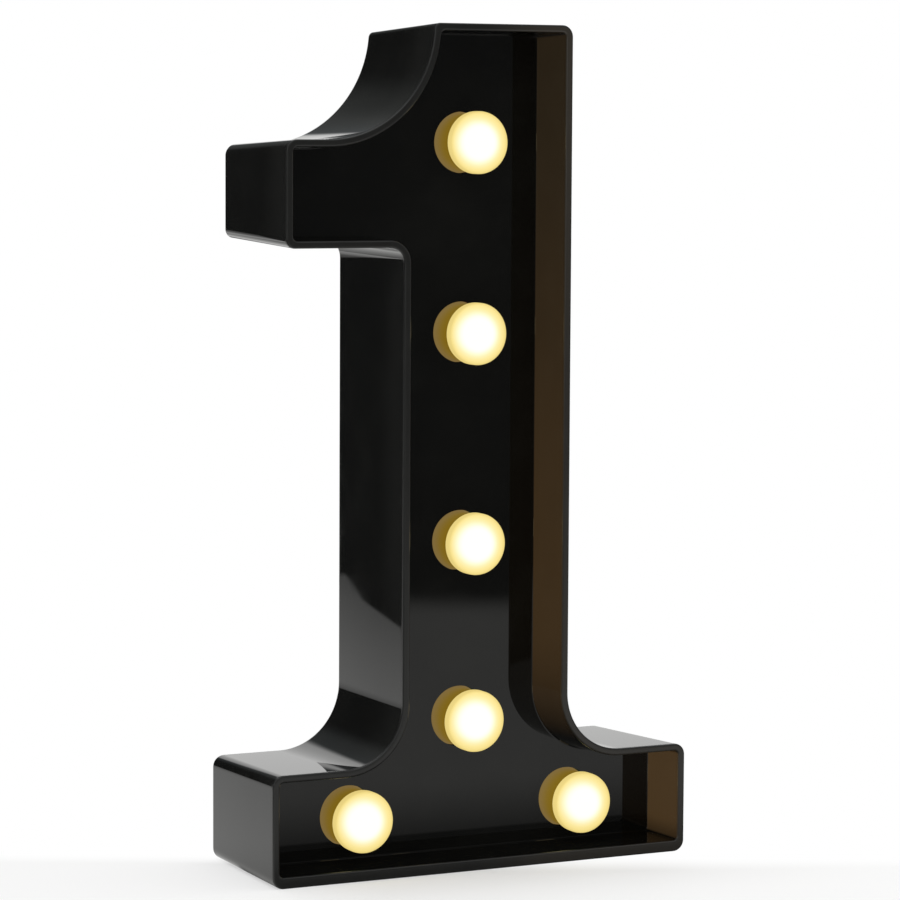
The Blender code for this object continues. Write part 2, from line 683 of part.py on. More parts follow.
def back_cover():
    """Make the cover: its plate, bay, switch pad, ribs, wells, keyhole and door opening."""
    satin_black = material("satin_black", BLACK, 0.38)
    outline = numeral(COVER_INSET, WALL + SEAT_GAP, inner_corner())
    cover = prism("back_cover", outline, COVER_FRONT_Y, BACK_Y, satin_black)

    tub = prism("bay_tub", bay_outline(BAY_WALL, TUB_HALF, COVER_FRONT_Y + SINK),
                TUB_LOW, TUB_HIGH, axis="Z")
    pad_half = (SWITCH_PAD_WIDTH / 2, SWITCH_PAD_HEIGHT / 2)
    pad = block("switch_pad", (STEM_X - pad_half[0], STEM_X + pad_half[0]),
                (SWITCH_PAD_Y, COVER_FRONT_Y + SINK),
                (SWITCH_Z - pad_half[1], SWITCH_Z + pad_half[1]))
    rib_span = (COVER_FRONT_Y - RIB_HEIGHT, COVER_FRONT_Y + SINK)
    rib_z = FOOT_HEIGHT * (1 - FOOT_SCREW_HEIGHT_SHARE)
    rib_half = FOOT_HALF - SCREW_MARGIN
    foot_rib = block("foot_rib", (-rib_half, rib_half), rib_span,
                     (rib_z, rib_z + RIB_THICK))
    stem_rib_z = (HEIGHT * STEM_LAMP_SHARES[2] + HEIGHT * STEM_LAMP_SHARES[3]) / 2
    stem_rib_half = (STEM_RIGHT - STEM_LEFT) / 2 - SCREW_MARGIN
    stem_rib = block("stem_rib", (STEM_X - stem_rib_half, STEM_X + stem_rib_half), rib_span,
                     (stem_rib_z - SCREW_MARGIN, stem_rib_z - SCREW_MARGIN + RIB_THICK))
    join(cover, merged("cover_stands", [tub, pad, foot_rib, stem_rib]))

    trough = prism("bay_hollow", bay_outline(0, BAY_HALF, COVER_FRONT_Y + OVERRUN),
                   BAY_LOW, BAY_HIGH, axis="Z")
    mouth = prism("bay_mouth",
                  rounded_rectangle((STEM_X - OPENING_HALF, STEM_X + OPENING_HALF),
                                    (OPENING_LOW, OPENING_HIGH), DOOR_CORNER),
                  COVER_FRONT_Y, BACK_Y + OVERRUN)
    cut(cover, trough, mouth)

    window_low = BACK_Y - math.hypot(TAB_REACH, BACK_Y - tab_floor()) - SEAT_GAP
    windows = []
    for index, x in enumerate(TAB_XS):
        half = TAB_WIDTH / 2 + SEAT_GAP
        windows.append(block(f"tab_window_{index}", (x - half, x + half),
                             (window_low, COVER_FRONT_Y + SEAT_GAP),
                             (TUB_LOW - OVERRUN, BAY_LOW + OVERRUN)))
    for index, x in enumerate(CELL_XS):
        half = TAG_WIDTH / 2 + SEAT_GAP
        tag_y = CELL_Y - TAG_DROP
        windows.append(block(f"tag_slit_{index}", (x - half, x + half),
                             (tag_y - SEAT_GAP, tag_y + CONTACT_THICK + SEAT_GAP),
                             (BAY_HIGH - OVERRUN, TUB_HIGH + OVERRUN)))
    cut(cover, merged("bay_windows", windows))

    holes = []
    for index, (x, z) in enumerate(SCREW_PLACES):
        holes.append(rod(f"shank_hole_{index}", SCREW_RADIUS + SEAT_GAP,
                         (COVER_FRONT_Y - OVERRUN, SCREW_SEAT_Y + SINK), x, z, SMALL_HOLE_SEGMENTS))
    cut(cover, merged("cover_shank_holes", holes))
    wells = [rod(f"screw_well_{index}", SCREW_HEAD_RADIUS + SEAT_GAP,
                 (SCREW_SEAT_Y, BACK_Y + OVERRUN), x, z, HOLE_SEGMENTS)
             for index, (x, z) in enumerate(SCREW_PLACES)]
    wells.append(keyhole_cutter())
    wells.append(switch_well_cutter())
    cut(cover, merged("cover_wells", wells))
    cut(cover, knob_slot_cutter(), switch_pilot_cutter())
    return cover


def keyhole_cutter():
    """Return the cutter of the hanging keyhole: a round entry with a slot above it."""
    half = KEYHOLE_SLOT_WIDTH / 2
    foot_angle = math.acos(half / KEYHOLE_RADIUS)
    outline = arc((STEM_X, KEYHOLE_Z), KEYHOLE_RADIUS, math.pi - foot_angle,
                  math.tau + foot_angle, HOLE_SEGMENTS)
    outline += arc((STEM_X, KEYHOLE_Z + KEYHOLE_SLOT_RISE), half, 0, math.pi, CORNER_SEGMENTS)
    return prism("keyhole", outline, COVER_FRONT_Y - OVERRUN, BACK_Y + OVERRUN)


def switch_well_cutter():
    """Return the cutter of the recess that keeps the switch knob below the back face."""
    half_width, half_height = SWITCH_WELL_WIDTH / 2, SWITCH_WELL_HEIGHT / 2
    outline = rounded_rectangle((STEM_X - half_width, STEM_X + half_width),
                                (SWITCH_Z - half_height, SWITCH_Z + half_height),
                                DOOR_CORNER)
    return prism("switch_well", outline, BACK_Y - SWITCH_WELL_DEPTH, BACK_Y + OVERRUN)


def knob_slot_cutter():
    """Return the cutter of the slot that the switch knob slides in."""
    half_width = (KNOB_WIDTH + SWITCH_TRAVEL) / 2 + SEAT_GAP
    half_height = KNOB_HEIGHT / 2 + SEAT_GAP
    return block("knob_slot", (STEM_X - half_width, STEM_X + half_width),
                 (SWITCH_PAD_Y - OVERRUN, BACK_Y - SWITCH_WELL_DEPTH + OVERRUN),
                 (SWITCH_Z - half_height, SWITCH_Z + half_height))


def switch_pilot_cutter():
    """Return the cutter of the two blind holes for the switch screws."""
    tip = SWITCH_PAD_Y + SWITCH_SCREW_LENGTH
    holes = []
    for side in (-1, 1):
        holes.append(rod(f"switch_pilot_{side}", SWITCH_SCREW_RADIUS + SEAT_GAP,
                         (SWITCH_PAD_Y - OVERRUN, tip),
                         STEM_X + side * SWITCH_SCREW_PITCH / 2, SWITCH_Z, SMALL_HOLE_SEGMENTS))
    return merged("switch_pilots", holes)


def tab_floor():
    """Return the depth of the underside of the door's hook tabs."""
    return COVER_FRONT_Y - SEAT_GAP - TAB_THICK


def battery_door():
    """Make the door: its plate, hook tabs, sprung tongue, finger scoop and detent."""
    satin_black = material("satin_black", BLACK, 0.38)
    half = OPENING_HALF - SEAT_GAP
    low, high = OPENING_LOW + SEAT_GAP, OPENING_HIGH - SEAT_GAP
    outline = rounded_rectangle((STEM_X - half, STEM_X + half), (low, high), DOOR_CORNER)
    door = prism("battery_door", outline, DOOR_FRONT_Y, DOOR_BACK_Y, satin_black)

    tab_top = BAY_LOW + BAY_LEDGE
    hooks = []
    for index, x in enumerate(TAB_XS):
        span = (x - TAB_WIDTH / 2, x + TAB_WIDTH / 2)
        section = [
            (tab_floor(), HINGE_Z - TAB_REACH),
            (tab_floor(), tab_top),
            (DOOR_FRONT_Y + SINK, tab_top),
            (DOOR_FRONT_Y + SINK, low + SEAT_GAP),
            (tab_floor() + TAB_THICK, low + SEAT_GAP),
            (tab_floor() + TAB_THICK, HINGE_Z - TAB_REACH),
        ]
        rings = [[(level, y, z) for y, z in section] for level in span]
        hooks.append(loft(f"hook_{index}", rings))
    nib_half = DETENT_WIDTH / 2
    nib_y = (DOOR_FRONT_Y + DOOR_BACK_Y) / 2
    nib = block("detent", (STEM_X - nib_half, STEM_X + nib_half),
                (nib_y - DETENT_HEIGHT / 2, nib_y + DETENT_HEIGHT / 2),
                (high - SINK, high + DETENT_PROUD))
    join(door, merged("door_stands", hooks + [nib]))

    through = (DOOR_FRONT_Y - OVERRUN, DOOR_BACK_Y + OVERRUN)
    tongue_half = TONGUE_WIDTH / 2
    slots = []
    for side in (-1, 1):
        xs = sorted((STEM_X + side * tongue_half, STEM_X + side * (tongue_half + TONGUE_SLOT)))
        slots.append(block(f"tongue_slot_{side}", xs, through,
                           (high - TONGUE_LENGTH, high + OVERRUN)))
    cut(door, merged("tongue_slots", slots))

    scoop_half = SCOOP_WIDTH / 2
    scoop_high = high - (TONGUE_LENGTH - SCOOP_LENGTH) / 2
    scoop_low = scoop_high - SCOOP_LENGTH
    gap = (SCOOP_LENGTH - GRIP_RIBS * GRIP_RIB_WIDTH) / (GRIP_RIBS + 1)
    scoops = []
    for index in range(GRIP_RIBS + 1):
        start = scoop_low + index * (gap + GRIP_RIB_WIDTH)
        scoops.append(block(f"scoop_{index}", (STEM_X - scoop_half, STEM_X + scoop_half),
                            (DOOR_BACK_Y - SCOOP_DEPTH, DOOR_BACK_Y + OVERRUN),
                            (start, start + gap)))
    cut(door, merged("finger_scoop", scoops))
    move_origin(door, (STEM_X, BACK_Y, HINGE_Z))
    return door


def slide_switch():
    """Make the slide switch under its pad, and the knob that shows in the well."""
    switch_black = material("switch_black", SWITCH_BLACK, 0.5)
    half_width, half_height = SWITCH_BODY_WIDTH / 2, SWITCH_BODY_HEIGHT / 2
    body = block("switch_body", (STEM_X - half_width, STEM_X + half_width),
                 (SWITCH_FRONT_Y, SWITCH_FACE_Y - SINK),
                 (SWITCH_Z - half_height, SWITCH_Z + half_height), switch_black)
    ear_half = SWITCH_EAR_WIDTH / 2
    ears = block("switch_ears", (STEM_X - ear_half, STEM_X + ear_half),
                 (SWITCH_FACE_Y - SWITCH_EAR_THICK - SINK, SWITCH_FACE_Y),
                 (SWITCH_Z - half_height, SWITCH_Z + half_height))
    half = PIN_SIZE / 2
    pins = []
    for step in (-1, 0, 1):
        pin_x = STEM_X + step * PIN_PITCH
        pins.append(block(f"pin_{step}", (pin_x - half, pin_x + half),
                          (PIN_Y, SWITCH_FRONT_Y + SINK), (SWITCH_Z - half, SWITCH_Z + half)))
    join(body, ears, merged("switch_pins", pins))

    slot_half = (KNOB_WIDTH + SWITCH_TRAVEL) / 2 + SEAT_GAP
    slot_height = KNOB_HEIGHT / 2 + SEAT_GAP
    floor = SWITCH_FACE_Y - KNOB_SINK - SEAT_GAP
    slot = block("switch_slot", (STEM_X - slot_half, STEM_X + slot_half),
                 (floor, SWITCH_FACE_Y + OVERRUN),
                 (SWITCH_Z - slot_height, SWITCH_Z + slot_height))
    holes = []
    for side in (-1, 1):
        holes.append(rod(f"ear_hole_{side}", SWITCH_SCREW_RADIUS + SEAT_GAP,
                         (SWITCH_FRONT_Y, SWITCH_FACE_Y + OVERRUN),
                         STEM_X + side * SWITCH_SCREW_PITCH / 2, SWITCH_Z, SMALL_HOLE_SEGMENTS))
    cut(body, slot, merged("ear_holes", holes))

    knob_x = STEM_X - SWITCH_TRAVEL / 2
    knob_top = BACK_Y - KNOB_SETBACK
    half_width, half_height = KNOB_WIDTH / 2, KNOB_HEIGHT / 2
    knob = block("switch_knob", (knob_x - half_width, knob_x + half_width),
                 (SWITCH_FACE_Y - KNOB_SINK, knob_top),
                 (SWITCH_Z - half_height, SWITCH_Z + half_height), switch_black)
    pitch = KNOB_WIDTH / (KNOB_GROOVES + 1)
    grooves = []
    for index in range(KNOB_GROOVES):
        middle = knob_x - half_width + pitch * (index + 1)
        grooves.append(block(f"groove_{index}",
                             (middle - KNOB_GROOVE / 2, middle + KNOB_GROOVE / 2),
                             (knob_top - KNOB_GROOVE, knob_top + OVERRUN),
                             (SWITCH_Z - half_height - OVERRUN, SWITCH_Z + half_height + OVERRUN)))
    cut(knob, merged("knob_grooves", grooves))
    move_origin(knob, (knob_x, knob_top, SWITCH_Z))


def screw_profile(radius, length, head_radius, head_thick):
    """Return a pan-head screw's half section, its head above height zero."""
    return [
        (0, head_thick),
        (head_radius * math.sqrt(0.5), head_thick),
        (head_radius, head_thick / 2),
        (head_radius, 0),
        (radius, 0),
        (radius, radius - length),
        (0, -length),
    ]


def cross_recess(name, place, top, outward):
    """Return the cutter of a cross recess in a screw head that faces along Y."""
    x, z = place
    span = sorted((top - outward * CROSS_DEPTH, top + outward * OVERRUN))
    long_half, short_half = CROSS_LENGTH / 2, CROSS_WIDTH / 2
    outline = [
        (x - long_half, z - short_half), (x - short_half, z - short_half),
        (x - short_half, z - long_half), (x + short_half, z - long_half),
        (x + short_half, z - short_half), (x + long_half, z - short_half),
        (x + long_half, z + short_half), (x + short_half, z + short_half),
        (x + short_half, z + long_half), (x - short_half, z + long_half),
        (x - short_half, z + short_half), (x - long_half, z + short_half),
    ]
    return prism(name, outline, *span)


def screws():
    """Drive the cover screws into their bosses and the switch screws into their pad."""
    zinc = material("zinc_screw", ZINC, 0.35, 1.0)
    profile = screw_profile(SCREW_RADIUS, SCREW_LENGTH, SCREW_HEAD_RADIUS, SCREW_HEAD_THICK)
    seat = SCREW_SEAT_Y + SLIVER
    for index, (x, z) in enumerate(SCREW_PLACES):
        screw = turned(f"cover_screw_{index + 1}", profile, HOLE_SEGMENTS,
                       (x, seat, z), "back", zinc)
        cut(screw, cross_recess(f"cross_{index + 1}", (x, z), seat + SCREW_HEAD_THICK, 1))

    profile = screw_profile(SWITCH_SCREW_RADIUS, SWITCH_SCREW_LENGTH,
                            SWITCH_SCREW_HEAD_RADIUS, SWITCH_SCREW_HEAD_THICK)
    seat = SWITCH_FACE_Y - SWITCH_EAR_THICK - SINK - SEAT_GAP
    for index, side in enumerate((-1, 1)):
        place = (STEM_X + side * SWITCH_SCREW_PITCH / 2, seat, SWITCH_Z)
        turned(f"switch_screw_{index + 1}", profile, SMALL_HOLE_SEGMENTS, place, "front", zinc)


def cells():
    """Lay the two cells in their troughs, head to tail."""
    wrap = material("cell_wrap", CELL_GREY, 0.3, 0.4)
    shoulder = CELL_LENGTH - CELL_NUB_HEIGHT
    profile = [
        (0, CELL_LENGTH),
        (CELL_NUB_RADIUS, CELL_LENGTH),
        (CELL_NUB_RADIUS, shoulder),
        (CELL_RADIUS - CELL_EDGE, shoulder),
        (CELL_RADIUS, shoulder - CELL_EDGE),
        (CELL_RADIUS, CELL_EDGE),
        (CELL_RADIUS - CELL_EDGE, 0),
        (0, 0),
    ]
    low = BAY_LOW + CONTACT_STACK
    high = BAY_HIGH - CONTACT_STACK
    turned("cell_1", profile, CELL_SEGMENTS, (CELL_XS[0], CELL_Y, low + SPRING_LENGTH), "up", wrap)
    second = turned("cell_2", profile, CELL_SEGMENTS, (CELL_XS[1], CELL_Y, high - SPRING_LENGTH),
                    "up", wrap)
    second.rotation_euler = (math.pi, 0, 0)


def contacts():
    """Make the bay's end plates, with solder tags on the two at the upper end."""
    nickel = material("nickel_contact", NICKEL, 0.3, 1.0)
    ys = (CELL_Y - CONTACT_DROP, CELL_Y + CONTACT_RISE)
    upper = (BAY_HIGH - SEAT_GAP - CONTACT_THICK, BAY_HIGH - SEAT_GAP)
    lower = (BAY_LOW + SEAT_GAP, BAY_LOW + SEAT_GAP + CONTACT_THICK)
    half = CONTACT_WIDTH / 2
    tag_half = TAG_WIDTH / 2
    tag_y = CELL_Y - TAG_DROP
    for name, x in (("contact_positive", CELL_XS[0]), ("contact_negative", CELL_XS[1])):
        plate = block(name, (x - half, x + half), ys, upper, nickel)
        tag = block(f"{name}_tag", (x - tag_half, x + tag_half), (tag_y, tag_y + CONTACT_THICK),
                    (upper[0] + SLIVER, TUB_HIGH + TAG_LENGTH))
        join(plate, tag)
    block("contact_bridge", (CELL_XS[0] - half, CELL_XS[1] + half), ys, lower, nickel)


def spring_points(x, foot, direction):
    """Return the turns of a conical contact spring that rises from its plate."""
    rise = SPRING_LENGTH - SEAT_GAP - 2 * SPRING_WIRE_RADIUS
    count = SPRING_TURNS * COIL_POINTS_A_TURN
    points = []
    for index in range(count + 1):
        share = index / count
        radius = SPRING_FOOT_RADIUS + (SPRING_TIP_RADIUS - SPRING_FOOT_RADIUS) * share
        angle = math.tau * index / COIL_POINTS_A_TURN
        height = foot + direction * (SPRING_WIRE_RADIUS + rise * share)
        points.append((x + radius * math.cos(angle), CELL_Y + radius * math.sin(angle), height))
    return points


def contact_springs():
    """Wind the spring behind each cell's flat end."""
    nickel = material("nickel_contact", NICKEL, 0.3, 1.0)
    low = BAY_LOW + CONTACT_STACK
    high = BAY_HIGH - CONTACT_STACK
    for name, x, foot, direction in (("contact_spring_1", CELL_XS[0], low, 1),
                                     ("contact_spring_2", CELL_XS[1], high, -1)):
        tube(name, spring_points(x, foot, direction), SPRING_WIRE_RADIUS, nickel)


def resistor():
    """Solder the series resistor to the switch's middle pin, its leads along the stem."""
    tan = material("resistor_tan", RESISTOR_TAN, 0.45)
    body = RESISTOR_LEAD + RESISTOR_LENGTH
    neck = RESISTOR_RADIUS * math.sqrt(0.5)
    profile = [
        (0, body + RESISTOR_LEAD),
        (RESISTOR_LEAD_RADIUS, body + RESISTOR_LEAD),
        (RESISTOR_LEAD_RADIUS, body),
        (neck, body),
        (RESISTOR_RADIUS, body - RESISTOR_LENGTH / 4),
        (RESISTOR_RADIUS, RESISTOR_LEAD + RESISTOR_LENGTH / 4),
        (neck, RESISTOR_LEAD),
        (RESISTOR_LEAD_RADIUS, RESISTOR_LEAD),
        (RESISTOR_LEAD_RADIUS, 0),
        (0, 0),
    ]
    turned("resistor", profile, SMALL_HOLE_SEGMENTS, resistor_foot(), "up", tan)


def resistor_foot():
    """Return where the resistor's lower lead starts, against the switch's middle pin."""
    y = PIN_Y - SEAT_GAP - RESISTOR_LEAD_RADIUS
    return (STEM_X, y, SWITCH_Z - PIN_SIZE / 2)


def smooth_route(points, segments=WIRE_SEGMENTS):
    """Return a smooth curve through a route's own points."""
    route = [Vector(point) for point in points]
    padded = [2 * route[0] - route[1]] + route + [2 * route[-1] - route[-2]]
    smooth = []
    for index in range(1, len(padded) - 2):
        a, b, c, d = padded[index - 1:index + 3]
        for step in range(segments):
            t = step / segments
            smooth.append((2 * b + (c - a) * t + (2 * a - 5 * b + 4 * c - d) * t * t
                           + (3 * b - a - 3 * c + d) * t * t * t) / 2)
    return smooth + [route[-1]]


def pad(lamp, offset_x, side):
    """Return a solder pad on the back of a lamp's board, above or below its middle."""
    x, z = LAMP_PLACES[lamp]
    return Vector((x + offset_x, BOARD_BACK_Y + SEAT_GAP, z + side * PAD_RISE))


def link_wire(name, start, end, finish):
    """Run a wire from one board's pad to another's along the lane behind the panel."""
    along = Vector((end.x - start.x, 0, end.z - start.z)).normalized()
    lift = Vector((0, LANE_Y - start.y, 0))
    bend = along * WIRE_EASE
    straight_start = start + lift + bend
    straight_end = end + lift - bend
    route = [start, start + lift / 2 + bend / 8, straight_start]
    far = [straight_end, end + lift / 2 - bend / 8, end]
    points = smooth_route(route)[:-1] + smooth_route(far)
    tube(name, points, WIRE_RADIUS, finish)


def wires():
    """Join the bay, switch and boards with red and black wires."""
    red = material("wire_red", WIRE_RED, 0.45)
    black = material("wire_black", WIRE_BLACK, 0.45)
    for index in range(len(STEM_LAMP_SHARES) - 1):
        label = f"{index + 1}_{index + 2}"
        link_wire(f"link_red_{label}", pad(index, LINK_PAD_X, -1),
                  pad(index + 1, LINK_PAD_X, 1), red)
        link_wire(f"link_black_{label}", pad(index, -LINK_PAD_X, -1),
                  pad(index + 1, -LINK_PAD_X, 1), black)
    last = len(STEM_LAMP_SHARES) - 1
    spread = FEED_PAD_X - LINK_PAD_X
    for lamp, side in ((last + 1, -1), (last + 2, 1)):
        label = f"{last + 1}_{lamp + 1}"
        link_wire(f"link_red_{label}", pad(last, side * FEED_PAD_X, -1),
                  pad(lamp, -side * spread / 2, 1), red)
        link_wire(f"link_black_{label}", pad(last, side * LINK_PAD_X, -1),
                  pad(lamp, -side * spread * 3 / 2, 1), black)

    tag_y = CELL_Y - TAG_DROP + CONTACT_THICK / 2
    tag_end = TUB_HIGH + TAG_LENGTH + SEAT_GAP
    pin_end = PIN_Y - SEAT_GAP
    ease = WIRE_EASE
    start = Vector((CELL_XS[0], tag_y, tag_end))
    end = Vector((STEM_X - PIN_PITCH, pin_end, SWITCH_Z))
    route = [start, start + Vector((0, 0, ease)),
             Vector(((start.x + end.x) / 2, tag_y - ease, (start.z + end.z) / 2)),
             Vector((end.x, end.y - ease, end.z - ease / 2)), end]
    tube("feed_red_bay", smooth_route(route), WIRE_RADIUS, red)

    start = Vector((CELL_XS[1], tag_y, tag_end))
    end = pad(1, FEED_PAD_X, 1)
    crest = max(start.z, end.z) + ease
    route = [start, start + Vector((0, -ease / 4, ease)),
             Vector(((start.x + end.x) / 2, (start.y + end.y) / 2, crest + ease / 2)),
             Vector((end.x, end.y + ease, end.z + ease / 3)), end]
    tube("feed_black_bay", smooth_route(route), WIRE_RADIUS, black)

    foot = Vector(resistor_foot())
    start = foot + Vector((0, 0, 2 * RESISTOR_LEAD + RESISTOR_LENGTH + SEAT_GAP))
    end = pad(0, FEED_PAD_X, -1)
    route = [start, start + Vector((0, 0, ease)),
             Vector(((start.x + end.x) / 2, (start.y + end.y) / 2, (start.z + end.z) / 2)),
             Vector((end.x, end.y + ease, end.z - ease / 3)), end]
    tube("feed_red_boards", smooth_route(route), WIRE_RADIUS, red)


def main():
    """Build the numeral from its housing inwards."""
    front_housing()
    lamp_caps()
    lamp_boards()
    lamps()
    back_cover()
    battery_door()
    slide_switch()
    screws()
    cells()
    contacts()
    contact_springs()
    resistor()
    wires()


main()
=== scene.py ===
"""Looks of the battery marquee numeral: its pieces, finishes, studio and camera.

Metres, +Z up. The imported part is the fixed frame, and every piece here sits on it. The
numeral stands on its foot at Z = 0 and faces -Y.
"""

import logging  # noqa: E402
import math  # noqa: E402
from collections.abc import Iterable, Sequence  # noqa: E402
from dataclasses import dataclass, field  # noqa: E402
from enum import Enum  # noqa: E402
from typing import Any  # noqa: E402

import bmesh  # noqa: E402
import bpy  # noqa: E402
from mathutils import Matrix, Vector  # noqa: E402


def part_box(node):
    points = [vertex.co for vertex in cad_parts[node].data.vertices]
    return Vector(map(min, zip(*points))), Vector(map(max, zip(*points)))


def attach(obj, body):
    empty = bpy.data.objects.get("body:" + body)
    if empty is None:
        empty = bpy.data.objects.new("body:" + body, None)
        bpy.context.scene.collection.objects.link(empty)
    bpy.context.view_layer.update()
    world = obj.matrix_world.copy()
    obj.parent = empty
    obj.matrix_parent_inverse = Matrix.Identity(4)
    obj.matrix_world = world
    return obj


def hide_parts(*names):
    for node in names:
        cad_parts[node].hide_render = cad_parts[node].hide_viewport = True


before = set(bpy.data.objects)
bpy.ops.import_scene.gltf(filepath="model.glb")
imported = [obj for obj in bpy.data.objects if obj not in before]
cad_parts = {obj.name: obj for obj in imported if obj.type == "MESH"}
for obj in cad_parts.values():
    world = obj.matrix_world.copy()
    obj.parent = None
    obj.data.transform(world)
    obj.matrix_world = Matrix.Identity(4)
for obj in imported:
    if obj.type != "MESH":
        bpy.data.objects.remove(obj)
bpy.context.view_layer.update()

LOG = logging.getLogger("marquee_numeral")

Point = tuple[float, float]
Span = tuple[float, float]
Outline = list[Point]
Ring = tuple[float, float, float, float]
Place = tuple[float, float, float]
Color = tuple[float, float, float, float]
Stops = tuple[tuple[float, Color], ...]
Mesh = bpy.types.Mesh

HOUSING = "housing"
DOOR = "door"
KNOB = "knob"
FROM_AXIS = "from_axis"
ALONG_AXIS = "along_axis"
DARK: Color = (0, 0, 0, 1)
WHITE: Color = (1, 1, 1, 1)

# The least turn between two faces that shows as an edge
SMOOTH_ANGLE = math.radians(32)
# How far a cutting tool runs past what it cuts
OVERRUN = 0.001
# How deep a joined piece starts inside what carries it
SINK = 0.0006
# The least share of a sharp corner's own reach that shrinking an outline allows for
LEAST_STRETCH = 0.4


class Facing(Enum):
    """Which way a turned piece's own axis points."""

    FRONT = math.pi / 2
    BACK = -math.pi / 2
    UP = 0.0
    DOWN = math.pi

    def turn(self) -> Matrix:
        """Return the rotation that takes the Z axis there."""
        return Matrix.Rotation(self.value, 4, "X")


# Which way each numbered cell stands, with the spring at its foot
STANDING = {1: Facing.UP, 2: Facing.DOWN}


class Lead(Enum):
    """The two kinds of wire, by the colour of their insulation."""

    RED = (0.42, 0.018, 0.012, 1)
    BLACK = (0.010, 0.010, 0.011, 1)


# Node trees


class Tap:
    """One output of a node, with the arithmetic that shader maths needs."""

    def __init__(self, graph: "Graph", socket: bpy.types.NodeSocket | None) -> None:
        """Keep the tree and the output.

        Args:
            graph: The tree the node stands in.
            socket: The output, or None on a node that ends a tree.
        """
        self.graph = graph
        self.socket = socket

    def other(self, output: str) -> "Tap":
        """Return another output of the same node."""
        return Tap(self.graph, self.socket.node.outputs[output])

    def _math(self, operation: str, *values: "Tap | float") -> "Tap":
        """Add one Math node."""
        return self.graph.node("ShaderNodeMath", {"operation": operation},
                               dict(enumerate(values)))

    def __add__(self, other: "Tap | float") -> "Tap":
        """Add."""
        return self._math("ADD", self, other)

    def __radd__(self, other: float) -> "Tap":
        """Add to a number."""
        return self._math("ADD", other, self)

    def __sub__(self, other: "Tap | float") -> "Tap":
        """Take away."""
        return self._math("SUBTRACT", self, other)

    def __rsub__(self, other: float) -> "Tap":
        """Take away from a number."""
        return self._math("SUBTRACT", other, self)

    def __mul__(self, other: "Tap | float") -> "Tap":
        """Multiply."""
        return self._math("MULTIPLY", self, other)

    def __rmul__(self, other: float) -> "Tap":
        """Multiply a number."""
        return self._math("MULTIPLY", other, self)

    def __pow__(self, other: "Tap | float") -> "Tap":
        """Raise to a power."""
        return self._math("POWER", self, other)

    def __abs__(self) -> "Tap":
        """Drop the sign."""
        return self._math("ABSOLUTE", self)

    def least(self, other: "Tap | float") -> "Tap":
        """Return the smaller value."""
        return self._math("MINIMUM", self, other)

    def most(self, other: "Tap | float") -> "Tap":
        """Return the larger value."""
        return self._math("MAXIMUM", self, other)

    def about_one(self, spread: float) -> "Tap":
        """Turn noise about 0.5 into a factor about 1."""
        return self * spread + (1 - spread / 2)

    def at_least(self, least: float) -> "Tap":
        """Squeeze 0 to 1 into least to 1."""
        return self * (1 - least) + least

    def rise(self, low: float, high: float) -> "Tap":
        """Rise smoothly with the value, or fall where high is the smaller.

        Args:
            low: The value that gives 0.
            high: The value that gives 1.

        Returns:
            The eased share.
        """
        if low > high:
            return 1 - self.rise(high, low)
        return self.graph.node("ShaderNodeMapRange", {"interpolation_type": "SMOOTHSTEP"},
                               {"Value": self, "From Min": low, "From Max": high})


